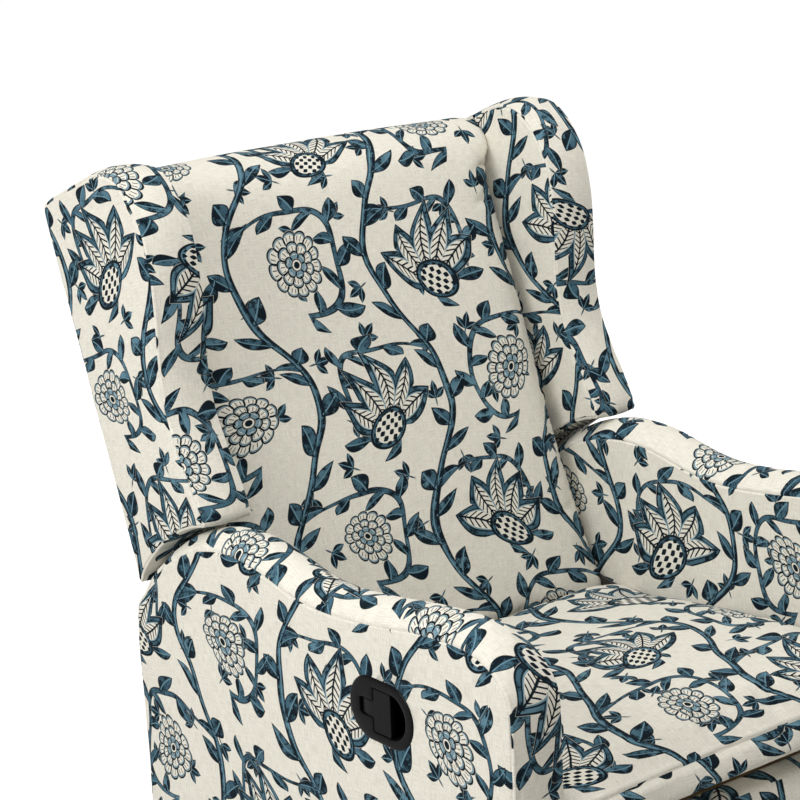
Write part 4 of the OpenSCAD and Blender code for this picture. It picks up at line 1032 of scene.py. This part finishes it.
def seat_space(points):
    """Between the arms, on the springs, in front of the back."""
    draw_out(points, (X, -SEAT_HALF, 0.060), (X, SEAT_HALF, 0.060), (Y, -SEAT_DEPTH - 0.005, 0.090),
             (Z, -SEAT_T, 0.060))
    points[:, X] = np.clip(points[:, X], -SEAT_HALF + CLEAR, SEAT_HALF - CLEAR)
    points[:, Z] = np.maximum(points[:, Z], -SEAT_T + 0.0008)
    points[:, Y] = np.maximum(points[:, Y], -SEAT_DEPTH - 0.010)
    points[:, Y] = np.minimum(points[:, Y], np.minimum(points[:, Z], 0) * tan(seat_lean) - 0.002)
    return points


def seat_tacks(points):
    """The cover is tacked along the lower edge of the front."""
    return np.exp(-(((points[:, Y] - front_low) / 0.045) ** 4 + ((points[:, Z] + SEAT_T) / 0.055) ** 4))


SEAT_SEAM = Vector((0, -SEAT_DEPTH, -0.036))
SEAM_FACING = Vector((0, 0.2, 1)).normalized()
FRONT_ONLY = -0.5


def seat_panel(centre, normal):
    """The top panel runs over the front roll down to the seam, so its print is measured down there too."""
    if centre.y < FRONT_ONLY and (centre - SEAT_SEAM).dot(SEAM_FACING) < 0:
        return lambda p: (p.x + 0.91, p.z + 0.17)
    if abs(normal.x) > 0.75:
        return lambda p: (p.y + 0.31, p.z + 0.57)
    return lambda p: (p.x + 0.065, p.y + 0.34 + (min(0.0, p.z) if p.y < FRONT_ONLY else 0.0))


seat = stuffed("seat_cover", seat_profile, SEAT_HALF, (-SEAT_DEPTH / 2, -SEAT_T / 2), 0.06, SEAT,
               slack=0.008, voxel=0.006, space=seat_space, cap=0.025, held=seat_tacks)
cut(seat, SEAT, SEAT_SEAM, SEAM_FACING, (-0.008, -0.003, 0, 0.0015, 0.004, 0.007))
press_seam(seat, SEAT, SEAT_SEAM, SEAM_FACING, 0.0022, lambda p: p.y < FRONT_ONLY)
mark_cloth(seat, SEAT, seat_panel)
dress(seat, "seat_cushion", "seat")

# %% [markdown]
# The back is one long cushion between the wings, fullest a little below its middle. Behind, it steps round
# the timber posts, and at the top it rolls over them. It could be a plain pad in front of the posts. Drawn with
# the step, its top looks as deep as on the real chair.

# %% Back cushion
BACK_CROWN = 0.010 if SIMULATE else 0.026
BACK_LOW = 0.008
OUTSIDE_T = 0.015
POST_D = 0.034
POST_FRONT = BACK_REAR - OUTSIDE_T - POST_D
POST_REAR = BACK_REAR - OUTSIDE_T
POST_HIGH = BACK_H - 0.052
BACK_ROLL_R = 0.042
BACK_HALF = SIDE_IN - SOFT_GAP


def back_profile(w):
    """The back's side view at station w."""
    c = BACK_CROWN * fullness(w)
    f = BACK_FACE
    front = [(f - c * sin(pi * (t / 10) ** 0.8) ** 0.9 * (t / 3 if t < 3 else 1),
              BACK_LOW + (BACK_H - 0.050) * t / 10) for t in range(1, 10)]
    return ([(POST_FRONT, BACK_LOW), (f + 0.016, BACK_LOW), (f + 0.003, BACK_LOW + 0.010)] + front
            + arc((f - c * 0.2 + BACK_ROLL_R, BACK_H - BACK_ROLL_R - (1 - fullness(w)) * 0.003),
                  BACK_ROLL_R, 172, 90, 5)
            + [(POST_REAR - 0.012, BACK_H - 0.003), (POST_REAR, BACK_H - 0.012), (POST_REAR, POST_HIGH),
               (POST_FRONT, POST_HIGH), (POST_FRONT, POST_HIGH - 0.160), (POST_FRONT, BACK_LOW + 0.240)])[::-1]


def back_space(points):
    """Between the wings, in front of the posts."""
    draw_out(points, (X, -BACK_HALF, 0.060), (X, BACK_HALF, 0.060), (Z, BACK_LOW, 0.080),
             (Z, BACK_H + 0.002, 0.080))
    points[:, X] = np.clip(points[:, X], -BACK_HALF + CLEAR, BACK_HALF - CLEAR)
    points[:, Y] = np.clip(points[:, Y], BACK_FACE - 0.034, POST_REAR)
    points[:, Z] = np.clip(points[:, Z], BACK_LOW, BACK_H + 0.004)
    return points


def back_panel(centre, normal):
    """The front runs over the roll at the top without a seam, so its length is measured round the roll."""
    if abs(normal.x) > 0.8:
        return lambda p: (p.y + 0.71, p.z + 0.29)

    def wrapped(p):
        level = BACK_H - BACK_ROLL_R
        if p.z < level:
            return p.x + 0.11, p.z
        turn = np.arctan2(p.z - level, max(0.0, BACK_FACE + BACK_ROLL_R - p.y))
        return p.x + 0.11, level + BACK_ROLL_R * turn + max(0.0, p.y - BACK_FACE - BACK_ROLL_R)
    return wrapped


back = stuffed("back_cover", back_profile, BACK_HALF, (POST_FRONT - 0.022, POST_HIGH + 0.016), 0.02, BACK,
               slack=0.007, voxel=0.006, space=back_space, cap=0.022)
mark_cloth(back, BACK, back_panel)
dress(back, "back_cushion", "back")

# %% [markdown]
# The footrest's pad stands between the arms, just under the seat, and swings up with its board. It is thin and
# firm, and only a little crowned. A lofted body alone would nearly do, but inflated like the others it gets the
# same soft ends.

# %% Footrest pad
PAD_T = 0.045
PAD_CROWN = 0.009
PAD_BOTTOM = 0.092
PAD_GAP = 0.006
PAD_HALF = ARM_OUT - ARM_T - 0.004
seat_front_low = SEAT @ Vector((0, -SEAT_DEPTH, -SEAT_T))
PAD_TOP = (CHAIR.inverted() @ seat_front_low).z - PAD_GAP
PAD_REAR = ARM_FRONT - PAD_T


def pad_profile(w):
    """The pad's side view at station w."""
    c = PAD_CROWN * fullness(w)
    h = PAD_TOP - PAD_BOTTOM
    r = 0.014
    return ([(-PAD_REAR, PAD_BOTTOM)] + arc((-ARM_FRONT + r, PAD_BOTTOM + r), r, 270, 190, 3)
            + [(-ARM_FRONT - c * sin(pi * t / 5), PAD_BOTTOM + h * t / 5) for t in range(1, 5)]
            + arc((-ARM_FRONT + r, PAD_TOP - r), r, 170, 90, 3)
            + [(-PAD_REAR, PAD_TOP), (-PAD_REAR, PAD_TOP - h / 2)])[::-1]


def pad_space(points):
    """Between the arms, in front of its board, just under the seat."""
    draw_out(points, (X, -PAD_HALF, 0.050), (X, PAD_HALF, 0.050), (Z, PAD_BOTTOM, 0.060),
             (Z, PAD_TOP + 0.004, 0.060))
    points[:, X] = np.clip(points[:, X], -PAD_HALF + 0.001, PAD_HALF - 0.001)
    points[:, Y] = np.clip(points[:, Y], -ARM_FRONT - PAD_CROWN - 0.004, -PAD_REAR)
    points[:, Z] = np.clip(points[:, Z], PAD_BOTTOM, PAD_TOP + 0.004)
    return points


def pad_panel(centre, normal):
    if abs(normal.x) > 0.75:
        return lambda p: (p.y + 0.13, p.z + 0.47)
    if abs(normal.z) > 0.75:
        return lambda p: (p.x + 0.63, p.y + 0.83)
    return lambda p: (p.x + 0.09, p.z + 0.26)


pad = stuffed("footrest_cover", pad_profile, PAD_HALF, (-PAD_REAR - 0.001, (PAD_BOTTOM + PAD_TOP) / 2), 0.03,
              CHAIR, slack=0.005, voxel=0.005, space=pad_space, cap=0.010, quick_slack=0.0005)
mark_cloth(pad, CHAIR, pad_panel)
dress(pad, "footrest_pad", "footrest")

# %% [markdown]
# ## The outside back and the skirt below it
#
# Behind, the chair is closed with the same linen, drawn tight over a thin board and tacked under its edges.
# Below the outside back hangs a curved skirt. It turns with the back about the recline pivot, just inside the
# fixed rear panel, so no position of the back opens a view of the mechanism. These three could be inflated too,
# but linen drawn tight over a board hardly swells, so they are only lofted.

# %% Covers behind
HINGE_OUT = 0.3005
REAR_PANEL_IN = 0.028
SKIRT_GAP = 0.005
SKIRT_R = ARM_REAR - REAR_PANEL_IN - PIVOT.y - SKIRT_GAP
SKIRT_T = 0.005
SKIRT_SWEEP = 40
BOARD_EDGE = 0.004
BOARD_SWELL = 0.001
skirt_high = np.degrees(asin(BACK_REAR / SKIRT_R))


def board_profile(w, y0, y1, z0, z1):
    """A thin upholstered board: a rectangle with rounded edges that swells a little to the rear."""
    e = BOARD_EDGE
    middle = [(y1 + BOARD_SWELL * fullness(w), z0 + (z1 - z0) * t) for t in (0.25, 0.5, 0.75)]
    return (arc((y0 + e, z0 + e), e, 180, 270, 3) + arc((y1 - e, z0 + e), e, 270, 360, 3) + middle
            + arc((y1 - e, z1 - e), e, 0, 90, 3) + arc((y0 + e, z1 - e), e, 90, 180, 3))


def outside_back_profile(w):
    return board_profile(w, POST_REAR, BACK_REAR, 0.055, BACK_H - 0.007)


def rear_panel_profile(w):
    return board_profile(w, ARM_REAR - REAR_PANEL_IN, ARM_REAR - 0.002, ARM_BOTTOM + 0.003, PIVOT.z - 0.065)


def skirt_profile(w):
    """The skirt is the same all the way across: an arc about the recline pivot."""
    top, bottom = 90 - skirt_high + 0.3, 90 - skirt_high - SKIRT_SWEEP
    return (arc((0, 0), SKIRT_R, top, bottom, 12) + arc((0, 0), SKIRT_R - SKIRT_T, bottom, top, 12))[::-1]


skirt_turn = radians(90 - skirt_high - SKIRT_SWEEP / 2)
skirt_middle = ((SKIRT_R - SKIRT_T / 2) * cos(skirt_turn), (SKIRT_R - SKIRT_T / 2) * sin(skirt_turn))
for name, node, body, profile, half, core, place in (
        ("outside_back_cover", "outside_back", "back", outside_back_profile, HINGE_OUT,
         (BACK_REAR - 0.008, BACK_H / 2), BACK),
        ("rear_panel_cover", "rear_panel", "chair_frame", rear_panel_profile, ARM_OUT - ARM_T,
         (ARM_REAR - 0.015, 0.197), CHAIR),
        ("skirt_cover", "back_skirt", "back", skirt_profile, HINGE_OUT, skirt_middle, BACK)):
    dress(loft(name, profile, half, core, 0.0, place, step=0.010), node, body)

# %% [markdown]
# ## The release handle
#
# An oval cup of satin black plastic is let into the outer side of the sitter's right arm. A flat T-shaped
# paddle lies flush in its mouth, with the stem of the T to the rear, where it turns on a pin. In front of the
# paddle a hollow is left open for the fingertips, which pull the paddle outwards. Both parts are moulded, so
# every edge has a small radius, and the rim catches a thin line of light. They could be cut from solids and
# bevelled, but a bevel goes wrong in the mouth's tight corners. Here they are stacks of rings instead, and the
# radii are drawn into them.

# %% Cup and paddle outlines
CUP_LEN = 0.121
CUP_H = 0.081
CUP_DEPTH = 0.022
CUP_AT = Vector((0, -0.208, 0.493))
PLASTIC_T = 0.003
FIT = 0.0007
SLOT_HALF = 0.011
SLOT_BACK = 0.040
MOUTH_BACK = 0.015
mouth_r = CUP_H / 2 - 0.012
mouth_fwd = CUP_LEN / 2 - 0.0135 - mouth_r
CUP = CHAIR @ Matrix.Translation(CUP_AT)
turns = np.linspace(0, 2 * pi, 240, endpoint=False)
rays = np.column_stack([np.cos(turns), np.sin(turns)])


def reach_box(y0, y1, half):
    """How far each ray runs inside a box round the middle."""
    with np.errstate(divide="ignore"):
        y = np.where(rays[:, 0] > 0, y1 / rays[:, 0], y0 / rays[:, 0])
        z = half / np.abs(rays[:, 1])
    return np.minimum(y, z)


def reach_circle(y, radius):
    """How far each ray runs inside a circle centred at y."""
    b = rays[:, 0] * y
    return b + np.sqrt(b * b - y * y + radius * radius)


def moulded_loop(*reaches):
    """The outline round several shapes together, with its corners rounded as a mould leaves them."""
    far = np.maximum.reduce(reaches)
    loop = rays * far[:, None]
    for _ in range(3):
        loop = (np.roll(loop, 1, axis=0) + loop * 2 + np.roll(loop, -1, axis=0)) / 4
    return loop


end_y = (CUP_LEN - CUP_H) / 2
rim = moulded_loop(reach_circle(end_y, CUP_H / 2), reach_circle(-end_y, CUP_H / 2),
                   reach_box(-end_y, end_y, CUP_H / 2))
mouth = moulded_loop(reach_circle(-mouth_fwd, mouth_r), reach_box(-mouth_fwd, MOUTH_BACK, mouth_r),
                     reach_box(-0.001, SLOT_BACK, SLOT_HALF))
tee = moulded_loop(reach_box(-mouth_fwd, MOUTH_BACK - FIT, mouth_r - 0.0010),
                   reach_box(-0.001, SLOT_BACK - FIT, SLOT_HALF - FIT))
print("rim:", np.ptp(rim, axis=0).round(4), "mouth:", np.ptp(mouth, axis=0).round(4))


def moulded(name, rings, middle_x, body, node):
    """A smooth plastic shell through rings of (x, loop), closed by a fan in the middle of the last ring."""
    cover = Cover()
    made = [cover.ring(x, loop) for x, loop in rings]
    for low, high in zip(made, made[1:]):
        cover.band(low, high)
    cover.fan(made[-1], middle_x, rings[-1][1].mean(axis=0))
    piece = cover.sew(name, CUP)
    piece.data.materials.append(FINISHES["plastic"])
    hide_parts(node)
    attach(piece, body)
    print(name, [round(v, 4) for v in piece.dimensions], "m")


# %% [markdown]
# The cup is drawn from its outer edge inwards: up the outside of the rim, over its rounded shoulder, across
# the flat, over the lip, down the well and round into its floor. The paddle is drawn from its edge to its
# middle. Behind the pin its stem rounds down like a knuckle, so that it doesn't bind as the paddle is pulled.

# %% Cup and paddle
FACE = -ARM_OUT
QUARTER = (0, 0.5, 1.0, 1.57)
RIM_EDGE = 0.0012
RIM_RISE = 0.0026
RIM_ROUND = 0.003
RIM_FLAT = 0.0042
LIP_TOP = 0.0040
LIP_ROUND = 0.0008
LIP_WIDTH = 0.0007
WELL_IN = 0.0002
WELL_ROUND = 0.004
PADDLE_FACE = FACE - 0.0034
PADDLE_EDGE = 0.0008
PADDLE_BACK = FACE + 0.0035
PIN_IN = 0.003
PIN_BACK = SLOT_BACK - 0.005
KNUCKLE_R = 0.0046
shoulder = shrunk(rim, RIM_ROUND)
lip = shrunk(mouth, -LIP_WIDTH)
well = shrunk(mouth, WELL_IN)
flange = [(FACE + 0.001, rim), (FACE - RIM_EDGE, rim)]
flange += [(FACE - RIM_EDGE - RIM_RISE * sin(a), shrunk(rim, RIM_ROUND * (1 - cos(a)))) for a in QUARTER[1:]]
flange += [(FACE - RIM_FLAT, shoulder + (lip - shoulder) * t) for t in (0.35, 0.7)]
flange += [(FACE - LIP_TOP + LIP_ROUND * (1 - cos(a)), shrunk(mouth, -LIP_WIDTH * (1 - sin(a))))
           for a in (0, 0.6, 1.2, 1.57)]
flange += [(FACE + x, well) for x in (0.004, 0.012, CUP_DEPTH - WELL_ROUND)]
flange += [(FACE + CUP_DEPTH - WELL_ROUND * (1 - sin(a)), shrunk(mouth, WELL_IN + WELL_ROUND * (1 - cos(a))))
           for a in (0.8, 1.57)]
moulded("latch_cup_moulding", flange, FACE + CUP_DEPTH, "chair_frame", "latch_cup")


def paddle_face(loop):
    """The paddle is flat, but its stem rounds down over the pin, so that its end clears the cup as it turns."""
    past_pin = loop[:, 0] - PIN_BACK
    knuckle = FACE + PIN_IN - np.sqrt(KNUCKLE_R ** 2 - np.maximum(0, past_pin) ** 2)
    return PADDLE_FACE + (knuckle - PADDLE_FACE) * np.clip(1 + past_pin / 0.010, 0, 1)


plate = [(PADDLE_BACK, tee * 0.7), (PADDLE_BACK, tee)]
for a in QUARTER:
    ring = shrunk(tee, PADDLE_EDGE * (1 - cos(a)))
    plate.append((paddle_face(ring) + PADDLE_EDGE * (1 - sin(a)), ring))
plate += [(paddle_face(tee * t), tee * t) for t in (0.93, 0.86, 0.7, 0.4)]
moulded("latch_paddle_moulding", plate, PADDLE_FACE, "latch_paddle", "latch_paddle")

# %% [markdown]
# The cup's well goes through the linen of the arm. The arm's side could be built with a hole in it, but its
# rows of faces follow the arm's outline, and a boolean cut is simpler: a plug a little larger than the mouth
# is taken away there.

# %% Opening in the arm for the cup
plug = Cover()
ends = [(x, plug.ring(x, shrunk(mouth, -PLASTIC_T))) for x in (FACE - 0.02, FACE + CUP_DEPTH + PLASTIC_T)]
plug.band(ends[0][1], ends[1][1])
for x, ring in ends:
    plug.fan(ring, x, (0, 0))
cutter = plug.sew("cutter", CUP)
arm = bpy.data.objects["arm_right_cover"]
opening = arm.modifiers.new("cup opening", "BOOLEAN")
opening.operation = "DIFFERENCE"
opening.solver = "MANIFOLD"
opening.object = cutter
apply_modifiers(arm)
bpy.data.objects.remove(cutter)
print("arm faces after the opening:", len(arm.data.polygons))

# %% [markdown]
# ## Studio
#
# The chair stands on a pale floor that runs on to the horizon, under broad soft lamps: one overhead, a key
# from the chair's right, which is the photo's left, and a weak one from the other side. So the arm's outer
# side is the brightest and everything that faces forward lies in soft shade. Stronger lamps could turn the
# background white, but they would bleach the linen too. So the world is plain white to the camera only, and
# gentler and a little warmer to the chair, and the linen keeps its shadows.

# %% Floor and world
WHITE = (1, 1, 1, 1)
FLOOR_GREY = (0.60, 0.60, 0.60, 1)
FLOOR_GLOW = 0.80
FLOOR_SIZE = 30
AIR_COLOUR = (1, 0.965, 0.90, 1)
AIR_STRENGTH = 0.36


def camera_sees(tree, usual, shown, output):
    """Gives the camera one shader and every other ray the usual one."""
    rays_from = tree.nodes.new("ShaderNodeLightPath").outputs["Is Camera Ray"]
    choice = linked(tree, "MixShader", rays_from, usual, shown)
    tree.links.new(choice.outputs[0], tree.nodes[output].inputs["Surface"])


def shining(node, colour, strength):
    """Sets an emission or background shader, and hands back what it gives."""
    node.inputs["Color"].default_value = colour
    node.inputs["Strength"].default_value = strength
    return node.outputs[0]


floor_material, floor_tree, floor_shader = new_material("pale_floor", 0.9)
floor_shader.inputs["Base Color"].default_value = FLOOR_GREY
floor_shader.inputs["Specular IOR Level"].default_value = 0.1
glow = shining(floor_tree.nodes.new("ShaderNodeEmission"), WHITE, FLOOR_GLOW)
lit_floor = floor_shader.outputs[0]
camera_sees(floor_tree, lit_floor, linked(floor_tree, "AddShader", lit_floor, glow).outputs[0], "Material Output")
floor_mesh = bpy.data.meshes.new("floor")
corners = [(x * FLOOR_SIZE, y * FLOOR_SIZE, 0) for x, y in ((-1, -1), (1, -1), (1, 1), (-1, 1))]
floor_mesh.from_pydata(corners, [], [(0, 1, 2, 3)])
floor = bpy.data.objects.new("floor", floor_mesh)
floor.data.materials.append(floor_material)
scene.collection.objects.link(floor)

world = bpy.data.worlds.new("studio")
world.use_nodes = True
scene.world = world
air = world.node_tree
camera_sees(air, shining(air.nodes["Background"], AIR_COLOUR, AIR_STRENGTH),
            shining(air.nodes.new("ShaderNodeBackground"), WHITE, 1.0), "World Output")
print("floor reflects", FLOOR_GREY[:3], "and the air shines at", AIR_STRENGTH)

# %% [markdown]
# A photographer would hang large soft boxes here. An even sky would be simpler, but it would flatten the folds.
# The lamps are about two metres wide and stand some three metres off, so every shadow has a soft edge.

# %% Lamps
LOOK_AT = Vector((0, 0, 0.6))


def lamp(name, place, size, watts):
    """A square soft lamp that faces the chair."""
    light = bpy.data.lights.new(name, "AREA")
    light.shape = "SQUARE"
    light.size = size
    light.energy = watts
    thing = bpy.data.objects.new(name, light)
    thing.location = place
    thing.rotation_euler = (LOOK_AT - Vector(place)).to_track_quat("-Z", "Y").to_euler()
    scene.collection.objects.link(thing)
    print(name, "lamp:", watts, "W over", size, "m")


lamp("overhead", (-0.1, -0.6, 3.1), 2.2, 39)
lamp("key", (-3.3, 0.15, 2.2), 1.8, 72)
lamp("side", (3.2, 0.9, 1.7), 2.0, 26)
scene.view_settings.view_transform = "Standard"
